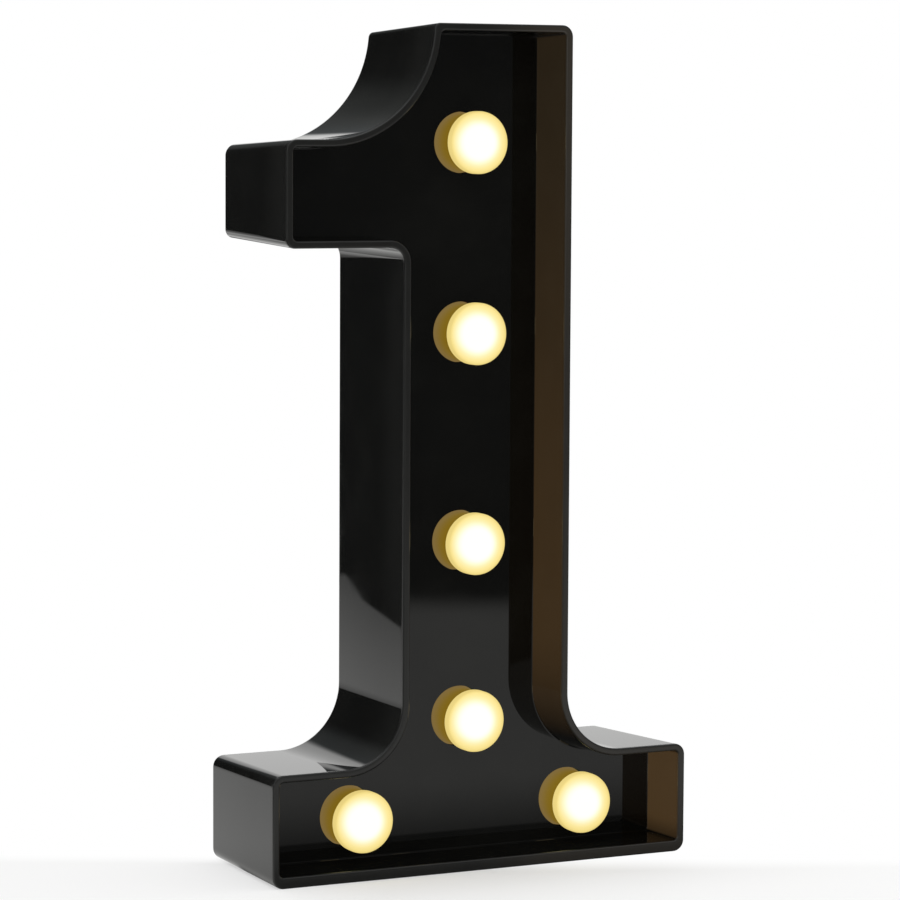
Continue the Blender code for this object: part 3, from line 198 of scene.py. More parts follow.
class Graph:
    """A node tree under construction."""

    def __init__(self, tree: bpy.types.NodeTree) -> None:
        """Take over a tree and clear it."""
        self.tree = tree
        self.tree.nodes.clear()

    def node(self, kind: str, settings: dict[str, Any] | None = None,
             inputs: dict[str | int, Any] | None = None, output: str | int = 0) -> Tap:
        """Add any node.

        Args:
            kind: The node's type name.
            settings: Its own settings, set first. "stops" fills a colour ramp.
            inputs: Values or links of its sockets, by name or number.
            output: The output to return.

        Returns:
            The chosen output.
        """
        made = self.tree.nodes.new(kind)
        for name, value in (settings or {}).items():
            if name == "stops":
                self._fill_ramp(made.color_ramp, value)
            else:
                setattr(made, name, value)
        for key, value in (inputs or {}).items():
            if isinstance(value, Tap):
                self.tree.links.new(value.socket, made.inputs[key])
            else:
                made.inputs[key].default_value = value
        return Tap(self, made.outputs[output] if made.outputs else None)

    @staticmethod
    def _fill_ramp(ramp: bpy.types.ColorRamp, stops: Sequence[tuple[float, Color]]) -> None:
        """Give a colour ramp its stops.

        Args:
            ramp: The ramp.
            stops: Its places and colours.
        """
        while len(ramp.elements) > 1:
            ramp.elements.remove(ramp.elements[-1])
        for index, (position, color) in enumerate(stops):
            stop = ramp.elements[0] if index == 0 else ramp.elements.new(position)
            stop.position = position
            stop.color = color

    def place(self) -> Tap:
        """Return the surface's own place on the object."""
        return self.node("ShaderNodeTexCoord", output="Object")

    def axes(self, vector: Tap) -> tuple[Tap, Tap, Tap]:
        """Return a vector's three parts."""
        split = self.node("ShaderNodeSeparateXYZ", inputs={"Vector": vector})
        return split, split.other("Y"), split.other("Z")

    def stored(self, name: str) -> Tap:
        """Return a value that the mesh carries."""
        return self.node("ShaderNodeAttribute", {"attribute_name": name}, output="Fac")

    def noise(self, place: Tap, size: float, detail: float) -> Tap:
        """Return soft noise about 0.5, its patches about size across."""
        return self.node("ShaderNodeTexNoise", {},
                         {"Vector": place, "Scale": 1 / size, "Detail": detail})

    def pits(self, place: Tap, size: float) -> Tap:
        """Return the distance to the nearest of scattered points, size apart."""
        return self.node("ShaderNodeTexVoronoi", {"feature": "F1"},
                         {"Vector": place, "Scale": 1 / size})

    def ramp(self, factor: Tap, stops: Sequence[tuple[float, Color]],
             ease: str = "LINEAR") -> Tap:
        """Pick a colour along stops.

        Args:
            factor: Where it is picked.
            stops: The places and colours.
            ease: How the colours go over into each other.

        Returns:
            The colour.
        """
        made = self.node("ShaderNodeValToRGB", {"stops": stops}, {"Fac": factor})
        made.socket.node.color_ramp.interpolation = ease
        return made

    def mix(self, factor: Tap | float, first: Tap | Color, second: Tap | Color) -> Tap:
        """Blend two colours."""
        return self.node("ShaderNodeMix", {"data_type": "RGBA"},
                         {0: factor, 6: first, 7: second}, 2)

    def bump(self, height: Tap, distance: float, normal: Tap | None = None) -> Tap:
        """Tilt the surface's normal by a height.

        Args:
            height: The height, as a share.
            distance: How high 1 is.
            normal: The normal to start from, or None for the surface's own.

        Returns:
            The normal.
        """
        inputs: dict[str | int, Any] = {"Height": height, "Distance": distance}
        if normal is not None:
            inputs["Normal"] = normal
        return self.node("ShaderNodeBump", {}, inputs)

    def glowing(self, color: Tap | Color) -> Tap:
        """Return a shader that gives off plain light."""
        return self.node("ShaderNodeEmission", {}, {"Color": color})

    def principled(self, inputs: dict[str | int, Any]) -> Tap:
        """Return the surface shader."""
        return self.node("ShaderNodeBsdfPrincipled", {}, inputs)


class Recipe(Graph):
    """A geometry tree with named inputs that ends in real, dressed faces."""

    KINDS = {
        "size": "NodeSocketFloat",
        "count": "NodeSocketInt",
        "turn": "NodeSocketVector",
        "piece": "NodeSocketObject",
        "finish": "NodeSocketMaterial",
    }

    def __init__(self, name: str) -> None:
        """Start a tree.

        Args:
            name: Its name.
        """
        super().__init__(bpy.data.node_groups.new(name, "GeometryNodeTree"))
        for direction in ("INPUT", "OUTPUT"):
            self.tree.interface.new_socket("Geometry", in_out=direction,
                                           socket_type="NodeSocketGeometry")
        self.start = self.tree.nodes.new("NodeGroupInput")
        self.identifiers: dict[str, str] = {}

    def host(self) -> Tap:
        """Return the mesh the tree runs on."""
        return Tap(self, self.start.outputs["Geometry"])

    def ask(self, label: str, kind: str = "size") -> Tap:
        """Add a named input.

        Args:
            label: Its name.
            kind: One of the kinds above.

        Returns:
            Its value inside the tree.
        """
        made = self.tree.interface.new_socket(label, in_out="INPUT",
                                              socket_type=self.KINDS[kind])
        self.identifiers[label] = made.identifier
        return Tap(self, self.start.outputs[label])

    def serve(self, geometry: Tap) -> None:
        """End the tree in real faces with their finish.

        Args:
            geometry: What the tree has made.
        """
        real = self.node("GeometryNodeRealizeInstances", {}, {"Geometry": geometry})
        dressed = self.node("GeometryNodeSetMaterial", {},
                            {"Geometry": real, "Material": self.ask("Finish", "finish")})
        end = self.tree.nodes.new("NodeGroupOutput")
        self.tree.links.new(dressed.socket, end.inputs["Geometry"])

    def serve_wire(self, curve: Tap, steps: int) -> None:
        """End the tree in a round wire.

        Args:
            curve: The wire's run.
            steps: How many faces go round it.
        """
        ring = self.node("GeometryNodeCurvePrimitiveCircle", {}, {
            "Resolution": steps, "Radius": self.ask("Wire radius")})
        wire = self.node("GeometryNodeCurveToMesh", {}, {
            "Curve": curve, "Profile Curve": ring, "Fill Caps": True})
        self.serve(self.node("GeometryNodeSetShadeSmooth", {}, {"Geometry": wire}))

    def run(self, host: Mesh, values: dict[str, Any]) -> Mesh:
        """Run the tree once.

        Args:
            host: The mesh it starts from.
            values: Its named inputs.

        Returns:
            The plain mesh it makes.
        """
        thing = link(bpy.data.objects.new(self.tree.name, host))
        step = thing.modifiers.new(self.tree.name, "NODES")
        step.node_group = self.tree
        for label, value in values.items():
            step[self.identifiers[label]] = value
        return frozen(thing)


# Meshes


def link(thing: bpy.types.Object) -> bpy.types.Object:
    """Put an object in the scene."""
    bpy.context.scene.collection.objects.link(thing)
    return thing


def frozen(thing: bpy.types.Object) -> Mesh:
    """Turn an object into a plain mesh.

    Args:
        thing: The object, which is removed.

    Returns:
        Its mesh, with its modifiers worked in.
    """
    bpy.context.view_layer.update()
    graph = bpy.context.evaluated_depsgraph_get()
    mesh = bpy.data.meshes.new_from_object(thing.evaluated_get(graph),
                                           preserve_all_data_layers=True, depsgraph=graph)
    bpy.data.objects.remove(thing)
    return mesh


def points_mesh(name: str, places: Iterable[Vector],
                edges: Sequence[tuple[int, int]] = ()) -> Mesh:
    """Return a mesh of bare points, or of lines between them.

    Args:
        name: The mesh's name.
        places: The points.
        edges: The numbers of the points at each line's ends.

    Returns:
        The mesh.
    """
    mesh = bpy.data.meshes.new(name)
    mesh.from_pydata([tuple(place) for place in places], list(edges), [])
    return mesh


def shaded(mesh: Mesh) -> Mesh:
    """Shade a mesh smooth, but for its sharp edges.

    Args:
        mesh: The mesh, which is changed.

    Returns:
        The same mesh.
    """
    mesh.shade_smooth()
    mesh.set_sharp_from_angle(angle=SMOOTH_ANGLE)
    return mesh


def closed(name: str, bm: bmesh.types.BMesh) -> Mesh:
    """Turn a closed bmesh into a mesh with its faces out.

    Args:
        name: The mesh's name.
        bm: The bmesh, which is freed.

    Returns:
        The shaded mesh.
    """
    bmesh.ops.recalc_face_normals(bm, faces=bm.faces)
    mesh = bpy.data.meshes.new(name)
    for _ in range(max(face.material_index for face in bm.faces) + 1):
        mesh.materials.append(None)
    bm.to_mesh(mesh)
    bm.free()
    return shaded(mesh)


def skin(name: str, rings: Sequence[Sequence[Sequence[float]]],
         slots: Sequence[int] = ()) -> Mesh:
    """Join rings of equally many points into a closed skin.

    Args:
        name: The mesh's name.
        rings: The rings, the first and last of which are filled.
        slots: The material slot of each band between rings.

    Returns:
        The mesh, its faces out.
    """
    bm = bmesh.new()
    loops = [[bm.verts.new(point) for point in ring] for ring in rings]
    for band, (low, high) in enumerate(zip(loops, loops[1:])):
        for index, corner in enumerate(low):
            after = (index + 1) % len(low)
            face = bm.faces.new((corner, low[after], high[after], high[index]))
            face.material_index = slots[band] if slots else 0
    bm.faces.new(loops[0])
    bm.faces.new(list(reversed(loops[-1])))
    return closed(name, bm)


def slab(name: str, outline: Outline, low: float, high: float,
         rounding: float = 0.0) -> Mesh:
    """Extrude an outline along Y.

    Args:
        name: The mesh's name.
        outline: Its (x, z) points.
        low: The depth where it starts.
        high: The depth where it ends.
        rounding: How far its edge at the far end is rounded off.

    Returns:
        The mesh.
    """
    levels = [(low, 0.0)]
    if rounding:
        levels += [(high - rounding * (1 - math.sin(a)), rounding * (1 - math.cos(a)))
                   for a in (0, math.pi / 4, math.pi / 2)]
        levels.append((high, rounding * 2))
    else:
        levels.append((high, 0.0))
    rings = []
    for level, inset in levels:
        ring = shrunk(outline, inset) if inset else outline
        rings.append([(x, level, z) for x, z in ring])
    return skin(name, rings)


def column(name: str, outline: Outline, low: float, high: float) -> Mesh:
    """Extrude an outline of (x, y) points along Z."""
    return skin(name, [[(x, y, level) for x, y in outline] for level in (low, high)])


def box(name: str, xs: Span, ys: Span, zs: Span, bevel: float = 0.0) -> Mesh:
    """Return a block.

    Args:
        name: The mesh's name.
        xs: Where it starts and ends across.
        ys: Where it starts and ends in depth.
        zs: Where it starts and ends in height.
        bevel: How far its edges are rounded off.

    Returns:
        The mesh.
    """
    bm = bmesh.new()
    bmesh.ops.create_cube(bm, size=1)
    size = Vector((xs[1] - xs[0], ys[1] - ys[0], zs[1] - zs[0]))
    center = Vector((sum(xs), sum(ys), sum(zs))) / 2
    bmesh.ops.transform(bm, verts=bm.verts, matrix=Matrix.Diagonal((*size, 1)))
    bmesh.ops.translate(bm, verts=bm.verts, vec=center)
    if bevel:
        bmesh.ops.bevel(bm, geom=bm.edges, offset=bevel, segments=3, profile=0.5,
                        affect="EDGES")
    return closed(name, bm)


def rod(name: str, radius: float, ys: Span, x: float, z: float,
        segments: int = 48) -> Mesh:
    """Return a cylinder along Y."""
    return slab(name, arc((x, z), radius, 0, math.tau, segments)[:-1], *ys)


def lathe(name: str, profile: Outline, segments: int) -> Mesh:
    """Spin a half section of (radius, height) points about Z.

    Args:
        name: The mesh's name.
        profile: The half section, starting and ending on the axis or joining up.
        segments: How many faces go round.

    Returns:
        The mesh, which also carries each point's distance from the axis and height.
    """
    bm = bmesh.new()
    looped = profile[0][0] > 0
    rings = []
    for radius, height in profile:
        if radius <= 0:
            rings.append([bm.verts.new((0, 0, height))] * segments)
        else:
            rings.append([bm.verts.new((radius * math.cos(math.tau * i / segments),
                                        radius * math.sin(math.tau * i / segments), height))
                          for i in range(segments)])
    pairs = list(zip(rings, rings[1:])) + ([(rings[-1], rings[0])] if looped else [])
    for low, high in pairs:
        for index in range(segments):
            after = (index + 1) % segments
            corners = dict.fromkeys((low[index], low[after], high[after], high[index]))
            bm.faces.new(tuple(corners))
    mesh = closed(name, bm)
    away = mesh.attributes.new(FROM_AXIS, "FLOAT", "POINT")
    along = mesh.attributes.new(ALONG_AXIS, "FLOAT", "POINT")
    away.data.foreach_set("value", [math.hypot(v.co.x, v.co.y) for v in mesh.vertices])
    along.data.foreach_set("value", [v.co.z for v in mesh.vertices])
    return mesh


def gathered(name: str, meshes: Iterable[Mesh]) -> Mesh:
    """Bring meshes together without joining them.

    Args:
        name: The new mesh's name.
        meshes: The meshes.

    Returns:
        One mesh of separate shells.
    """
    bm = bmesh.new()
    for mesh in meshes:
        bm.from_mesh(mesh)
    made = bpy.data.meshes.new(name)
    bm.to_mesh(made)
    bm.free()
    return shaded(made)


class Shaping:
    """A mesh that is cut and joined with others, step by step."""

    def __init__(self, mesh: Mesh) -> None:
        """Start from a closed mesh."""
        self.mesh = mesh

    def _step(self, tools: Iterable[Mesh], operation: str) -> "Shaping":
        """Work one set of tools in.

        Args:
            tools: Closed meshes that don't touch each other.
            operation: What the modifier does with them.

        Returns:
            This shaping.
        """
        thing = link(bpy.data.objects.new("shaping", self.mesh))
        tool_thing = link(bpy.data.objects.new("tool", gathered("tool", tools)))
        step = thing.modifiers.new("step", "BOOLEAN")
        step.operation = operation
        step.solver = "EXACT"
        step.object = tool_thing
        self.mesh = frozen(thing)
        bpy.data.objects.remove(tool_thing)
        return self

    def cut(self, *tools: Mesh) -> "Shaping":
        """Take tools away."""
        return self._step(tools, "DIFFERENCE")

    def join(self, *tools: Mesh) -> "Shaping":
        """Add tools."""
        return self._step(tools, "UNION")

    def done(self) -> Mesh:
        """Return the shaded mesh."""
        return shaded(self.mesh)


def piece(name: str, mesh: Mesh, finishes: "Sequence[Finish]", body: str,
          replaces: Sequence[str] = ()) -> bpy.types.Object:
    """Put a finished piece in the scene on its body.

    Args:
        name: The piece's name.
        mesh: Its mesh, in the frame's own place.
        finishes: The finish of each material slot.
        body: The CAD body it moves with.
        replaces: The CAD nodes it stands for.

    Returns:
        The piece.
    """
    mesh.name = name
    while len(mesh.materials) < len(finishes):
        mesh.materials.append(None)
    for slot, finish in enumerate(finishes):
        mesh.materials[slot] = finish.material()
    thing = link(bpy.data.objects.new(name, mesh))
    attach(thing, body)
    if replaces:
        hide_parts(*replaces)
    mesh.calc_loop_triangles()
    LOG.info("%s: %d triangles on %s", name, len(mesh.loop_triangles), body)
    return thing


def dress(finish: "Finish", *nodes: str) -> None:
    """Give CAD nodes that stay a finish.

    Args:
        finish: The finish.
        *nodes: The nodes' names.
    """
    for node in nodes:
        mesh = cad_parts[node].data
        mesh.materials.clear()
        mesh.materials.append(finish.material())
    LOG.info("%s on %s", finish.name, ", ".join(nodes))


def middle(node: str) -> Vector:
    """Return the middle of a CAD node's box."""
    low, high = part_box(node)
    return (low + high) / 2


def numbered(stem: str, count: int = 6) -> list[str]:
    """Return a stem's names, numbered from 1."""
    return [f"{stem}_{number}" for number in range(1, count + 1)]


def around(center: float, half: float) -> Span:
    """Return the span that reaches equally far to both sides of a place."""
    return center - half, center + half


# Outlines


def arc(center: Point, radius: float, start: float, end: float, segments: int) -> Outline:
    """Return points along an arc between two angles, both ends included."""
    angles = [start + (end - start) * index / segments for index in range(segments + 1)]
    return [(center[0] + radius * math.cos(a), center[1] + radius * math.sin(a))
            for a in angles]


def rounded(before: Point, corner: Point, after: Point, radius: float, segments: int,
            hold: float = 0.0) -> Outline:
    """Round a corner between two straight stretches.

    Args:
        before: A point on the stretch before.
        corner: The corner.
        after: A point on the stretch after.
        radius: The radius.
        segments: How many steps the rounding has.
        hold: How far out on each stretch one more point keeps its shading flat.

    Returns:
        The points.
    """
    apex = Vector(corner)
    to_before = (Vector(before) - apex).normalized()
    to_after = (Vector(after) - apex).normalized()
    half = to_before.angle(to_after) / 2
    center = apex + (to_before + to_after).normalized() * radius / math.sin(half)
    reach = radius / math.tan(half)
    start = apex + to_before * reach - center
    end = apex + to_after * reach - center
    first = math.atan2(start.y, start.x)
    swing = math.atan2(end.y, end.x) - first
    swing -= math.tau * round(swing / math.tau)
    points = arc(tuple(center), radius, first, first + swing, segments)
    if hold:
        points.insert(0, tuple(apex + to_before * (reach + hold)))
        points.append(tuple(apex + to_after * (reach + hold)))
    return points


def rounded_rectangle(xs: Span, zs: Span, radius: float, segments: int = 8) -> Outline:
    """Return a rectangle with round corners.

    Args:
        xs: Where it starts and ends across.
        zs: Where it starts and ends in height.
        radius: The corners' radius.
        segments: How many steps each corner has.

    Returns:
        The points.
    """
    corners = [(xs[0], zs[0]), (xs[1], zs[0]), (xs[1], zs[1]), (xs[0], zs[1])]
    room = min(xs[1] - xs[0], zs[1] - zs[0]) / 2 - radius
    points: Outline = []
    for index, corner in enumerate(corners):
        points += rounded(corners[index - 1], corner, corners[(index + 1) % 4], radius,
                          segments, min(radius, room) / 4)
    return points


def shrunk(outline: Outline, inset: float) -> Outline:
    """Move each side of a closed outline inwards.

    Args:
        outline: The outline.
        inset: How far its sides move.

    Returns:
        As many points as before.
    """
    area = sum(a[0] * b[1] - b[0] * a[1] for a, b in zip(outline, outline[1:] + outline[:1]))
    side = 1 if area > 0 else -1
    moved = []
    for index, point in enumerate(outline):
        here = Vector(point)
        into = (here - Vector(outline[index - 1])).normalized()
        out = (Vector(outline[(index + 1) % len(outline)]) - here).normalized()
        normal = Vector((-(into.y + out.y), into.x + out.x)).normalized() * side
        stretch = max(LEAST_STRETCH, normal.dot(Vector((-into.y, into.x)) * side))
        moved.append(tuple(here + normal * inset / stretch))
    return moved


@dataclass(frozen=True)
class NumeralFace:
    """The numeral's outline at the front rim."""

    height: float = 0.2200
    foot_width: float = 0.1205
    foot_height: float = 0.0292
    stem_left: float = -0.0237
    stem_right: float = 0.0245
    tip_x: float = -0.0154
    arm_left: float = -0.0567
    arm_bottom: float = 0.1629
    arm_top: float = 0.1903
    corner_radius: float = 0.0030
    tip_radius: float = 0.0015
    foot_fillet: float = 0.0160
    arm_fillet: float = 0.0040
    arm_corner: float = 0.0023
    corner_steps: int = 10
    tip_steps: int = 6
    fillet_steps: int = 24
    sweep_steps: int = 48
    hold: float = 0.0003

    @property
    def stem_x(self) -> float:
        """Return the middle of the stem."""
        return (self.stem_left + self.stem_right) / 2

    def turned(self, stops: Outline, turns: Sequence[tuple[float, int]]) -> Outline:
        """Go along straight stretches and round each corner between them.

        Args:
            stops: The first point, the corners and the last point.
            turns: Each corner's radius and steps.

        Returns:
            The points of the rounded corners.
        """
        points: Outline = []
        for before, stop, after, turn in zip(stops, stops[1:], stops[2:], turns):
            points += rounded(before, stop, after, *turn, self.hold)
        return points

    def outline(self, inset: float, foot: float, corner: float) -> Outline:
        """Return the outline moved inwards.

        Args:
            inset: How far every wall but the foot's underside moves.
            foot: How far the underside rises.
            corner: The radius of the outer corners.

        Returns:
            The outline, equally many points whatever the sizes.
        """
        half = self.foot_width / 2
        left, right = inset - half, half - inset
        foot_top = self.foot_height - inset
        stem_left, stem_right = self.stem_left + inset, self.stem_right - inset
        top = self.height - inset
        arm_left = self.arm_left + inset
        arm_bottom, arm_top = self.arm_bottom + inset, self.arm_top - inset
        sweep = self.height - self.arm_top + inset
        center = (self.tip_x - self.height + self.arm_top, self.height)
        tip_z = top - self.tip_radius
        tip_x = center[0] + math.sqrt((sweep + self.tip_radius) ** 2
                                      - (tip_z - center[1]) ** 2)
        touch = math.atan2(tip_z - center[1], tip_x - center[0])

        steps, hold = self.corner_steps, self.hold
        small = (corner, steps)
        fillet = (self.foot_fillet + inset, self.fillet_steps)
        right_side = [(left, foot_top), (left, foot), (right, foot), (right, foot_top),
                      (stem_right, foot_top), (stem_right, top), (tip_x, top)]
        left_side = [(center[0], arm_top), (arm_left, arm_top), (arm_left, arm_bottom),
                     (stem_left, arm_bottom), (stem_left, foot_top), (left, foot_top),
                     (left, foot)]

        points = self.turned(right_side, [small, small, small, fillet, small])
        points.append((tip_x + hold, top))
        points += arc((tip_x, tip_z), self.tip_radius, math.pi / 2, math.pi + touch,
                      self.tip_steps)
        points += arc(center, sweep, touch, -math.pi / 2, self.sweep_steps)[1:]
        points.append((center[0] - hold, arm_top))
        return points + self.turned(left_side, [
            small, (min(corner, self.arm_corner), steps), (self.arm_fillet + inset, steps),
            fillet, small])


@dataclass(frozen=True)
class Layers:
    """Planes through the numeral's depth, front to back, and the fits between pieces."""

    depth: float = 0.0430
    recess: float = 0.0155
    panel: float = 0.0020
    cover: float = 0.0020
    wall: float = 0.0019
    draft: float = 0.00146
    gap: float = 0.0003

    @property
    def front(self) -> float:
        """Return the front rim's plane."""
        return -self.depth / 2

    @property
    def back(self) -> float:
        """Return the back's plane."""
        return self.depth / 2

    @property
    def panel_front(self) -> float:
        """Return the panel's face."""
        return self.front + self.recess

    @property
    def panel_back(self) -> float:
        """Return the panel's back."""
        return self.panel_front + self.panel

    @property
    def cover_front(self) -> float:
        """Return the inner face of the back cover."""
        return self.back - self.cover

    @property
    def cavity_inset(self) -> float:
        """Return how far in the wall's inner face lies at the back."""
        return self.draft + self.wall

    def draft_at(self, y: float) -> float:
        """Return how far the drafted wall has come in at a depth."""
        return self.draft * (y - self.front) / self.depth


FACE = NumeralFace()
LAYERS = Layers()


# Finishes


@dataclass(frozen=True)
class Finish:
    """A named finish, made into a material once."""

    name: str

    def surface(self, graph: Graph) -> Tap:
        """Return the shader that the finish ends in."""
        raise NotImplementedError

    def material(self) -> bpy.types.Material:
        """Make the material, or find it.

        Returns:
            The finish's material.
        """
        made = bpy.data.materials.get(self.name)
        if made is None:
            made = bpy.data.materials.new(self.name)
            made.use_nodes = True
            graph = Graph(made.node_tree)
            graph.node("ShaderNodeOutputMaterial", {}, {"Surface": self.surface(graph)})
        return made


@dataclass(frozen=True)
class GlossPlastic(Finish):
    """Polished black plastic with moulding waves and haze, a painted rim sheen and, in one
    copy, a painted wall glow.
    """

    color: Color = (0.0028, 0.0028, 0.0022, 1)
    haze: Color = (0.0046, 0.0046, 0.0038, 1)
    haze_size: float = 0.011
    haze_span: Span = (0.35, 0.75)
    # Painted sheen: the front rim is coloured paler, standing in for its grey reflection
    painted_rim_light: Color = (0.0150, 0.0150, 0.0138, 1)
    painted_rim_depths: Span = (-0.0206, -0.0214)
    painted_rim_share: float = 0.72
    # Painted sheen on the outer walls near the front, paler toward the rim
    painted_sheen_depths: Span = (-0.0040, -0.0170)
    painted_sheen_share: float = 0.42
    roughness: float = 0.018
    smear: float = 0.03
    smear_span: Span = (0.4, 0.8)
    rim_rough: float = 0.26
    rim_depths: Span = (-0.0196, -0.0209)
    wave: float = 0.034
    wave_height: float = 0.000018
    rim_glow: Color = (0.019, 0.0150, 0.0105, 1)
    rim_facing: Span = (0.3, -0.8)
    rim_across: Span = (-0.004, 0.022)
    rim_heights: Span = (0.10, 0.21)
    glow_foot: Color = (0.057, 0.0330, 0.0135, 1)
    glow_low: Color = (0.043, 0.0250, 0.0105, 1)
    glow_high: Color = (0.020, 0.0135, 0.0070, 1)
    glow_heights: Span = (0.05, 0.215)
    foot_heights: Span = (0.036, 0.026)
    sideways: Span = (0.65, 1.0)
    patch: float = 0.02
    front_depths: Span = (LAYERS.front - 0.0005, LAYERS.front + 0.0015)
    front_least: float = 0.65
    dip_heights: Span = (0.034, 0.060)
    dip_foot: Span = (0.034, 0.030)
    floor_heights: Span = (0.002, 0.009)
    glow_least: float = 0.4
    # True for the copy with the painted warm glow on the tray's walls and rim; the other copy
    # has the painted sheen near the front
    lit: bool = False

    def haze_and_painted_sheen(self, graph: Graph, place: Tap, cloud: Tap) -> Tap:
        """Return the black, paler in random clouds, with a painted sheen on the rim and near
        the front.

        Args:
            graph: The tree.
            place: The surface's place.
            cloud: Soft noise over it.

        Returns:
            Its colour.
        """
        _, deep, _ = graph.axes(place)
        body = graph.mix(cloud.rise(*self.haze_span), self.color, self.haze)
        # Painted sheen: paler on the rim and, on the copy without the glow, on the walls near
        # the front
        painted_rim_light = deep.rise(*self.painted_rim_depths) * self.painted_rim_share
        if not self.lit:
            painted_rim_light = painted_rim_light + deep.rise(*self.painted_sheen_depths) * self.painted_sheen_share
        return graph.mix(painted_rim_light * cloud.about_one(0.4), body, self.painted_rim_light)

    def glow(self, graph: Graph, place: Tap) -> Tap:
        """Return the painted warm glow on the tray's side walls and on the rim.

        Args:
            graph: The tree.
            place: The surface's place.

        Returns:
            Its colour, strongest low on the numeral and on walls that face sideways.
        """
        across, deep, high = graph.axes(place)
        aside, ahead, _ = graph.axes(graph.node("ShaderNodeTexCoord", output="Normal"))
        color = graph.mix(high.rise(*self.glow_heights), self.glow_low, self.glow_high)
        color = graph.mix(high.rise(*self.foot_heights), color, self.glow_foot)
        patch = graph.noise(place, self.patch, 3).about_one(0.35)
        front = deep.rise(*self.front_depths).at_least(self.front_least)
        dip = high.rise(*self.dip_heights).at_least(self.glow_least)
        dip = dip.most(high.rise(*self.dip_foot))
        dip = dip * high.rise(*self.floor_heights).at_least(self.glow_least)
        share = abs(aside).rise(*self.sideways) * patch * front * dip
        walls = graph.mix(share, DARK, color)
        painted_rim_light = deep.rise(*self.painted_rim_depths) * ahead.rise(*self.rim_facing)
        painted_rim_light = painted_rim_light * across.rise(*self.rim_across)
        painted_rim_light = painted_rim_light * high.rise(*self.rim_heights).at_least(self.glow_least)
        return graph.mix(painted_rim_light, walls, self.rim_glow)

    def surface(self, graph: Graph) -> Tap:
        """Return the shader.

        Args:
            graph: The tree.

        Returns:
            The shader, with a painted warm glow on the tray's walls in the glowing copy.
        """
        place = graph.place()
        _, deep, _ = graph.axes(place)
        cloud = graph.noise(place, self.haze_size, 4)
        wave = graph.noise(place, self.wave, 1)
        inputs: dict[str | int, Any] = {
            "Base Color": self.haze_and_painted_sheen(graph, place, cloud),
            "Roughness": (cloud.rise(*self.smear_span) * self.smear + self.roughness
                          + deep.rise(*self.rim_depths) * self.rim_rough),
            "Normal": graph.bump(wave, self.wave_height),
            "IOR": 1.5,
        }
        if self.lit:
            inputs["Emission Color"] = self.glow(graph, place)
            inputs["Emission Strength"] = 1.0
        return graph.principled(inputs)


@dataclass(frozen=True)
class SatinPlastic(Finish):
    """Black plastic with a fine spark texture and softly worn edges."""

    color: Color = (0.0070, 0.0070, 0.0072, 1)
    pale: Color = (0.0125, 0.0125, 0.0128, 1)
    cloud_size: float = 0.014
    cloud_span: Span = (0.3, 0.8)
    cloud_rough: float = 0.08
    pit_rough: float = 0.10
    roughness: float = 0.36
    grain: float = 0.00042
    relief: float = 0.000022
    edge: float = 0.00016

    def surface(self, graph: Graph) -> Tap:
        """Return the shader.

        Args:
            graph: The tree.

        Returns:
            The shader.
        """
        place = graph.place()
        pits = graph.pits(place, self.grain)
        cloud = graph.noise(place, self.cloud_size, 4)
        edge = graph.node("ShaderNodeBevel", {"samples": 4}, {"Radius": self.edge})
        return graph.principled({
            "Base Color": graph.mix(cloud.rise(*self.cloud_span), self.color, self.pale),
            "Roughness": (pits * self.pit_rough + cloud * self.cloud_rough
                          + (self.roughness - self.cloud_rough)),
            "Normal": graph.bump(pits, self.relief, edge),
            "IOR": 1.5,
        })


@dataclass(frozen=True)
class FrostedCap(Finish):
    """Frosted warm plastic, lit from inside: a white heart, a cream edge, a golden neck."""

    head_radius: float = 0.0081
    neck_top: float = 0.0078
    seam: Span = (-0.0003, 0.0001)
    heart: float = 0.09
    spread: float = 1.1
    head: Color = (0.12, 0.10, 0.05, 1)
    neck: Color = (0.050, 0.036, 0.008, 1)
    head_light: Stops = (
        (0.38, (1.00, 0.98, 0.94, 1)),
        (0.45, (0.98, 0.95, 0.84, 1)),
        (0.52, (0.96, 0.90, 0.62, 1)),
        (0.60, (0.93, 0.81, 0.42, 1)),
        (0.69, (0.90, 0.75, 0.30, 1)),
        (0.82, (0.86, 0.69, 0.24, 1)),
        (0.99, (0.74, 0.58, 0.19, 1)),
    )
    neck_light: Stops = (
        (0.00, (0.200, 0.132, 0.042, 1)),
        (0.45, (0.198, 0.122, 0.014, 1)),
        (0.95, (0.190, 0.112, 0.000, 1)),
    )
    grain: float = 0.0006
    grain_rough: float = 0.12
    roughness: float = 0.34
    relief: float = 0.000012

    def surface(self, graph: Graph) -> Tap:
        """Return the shader.

        Args:
            graph: The tree.

        Returns:
            The shader, its light by the distance from the axis and the surface's turn.
        """
        radius = graph.stored(FROM_AXIS) * (1 / self.head_radius)
        height = graph.stored(ALONG_AXIS)
        facing = 1 - graph.node("ShaderNodeLayerWeight", {}, {"Blend": 0.5}, "Facing")
        across = (radius * radius + (1 - facing * facing)) * 0.5
        out = ((across - self.heart).most(0.0) * self.spread) ** 0.5
        is_head = height.rise(self.neck_top + self.seam[0], self.neck_top + self.seam[1])
        light = graph.mix(is_head, graph.ramp(height * (1 / self.neck_top), self.neck_light),
                          graph.ramp(out, self.head_light))
        grain = graph.noise(graph.place(), self.grain, 3)
        return graph.principled({
            "Base Color": graph.mix(is_head, self.neck, self.head),
            "Roughness": grain * self.grain_rough + self.roughness,
            "Emission Color": light,
            "Emission Strength": 1.0,
            "Normal": graph.bump(grain, self.relief),
            "IOR": 1.46,
        })


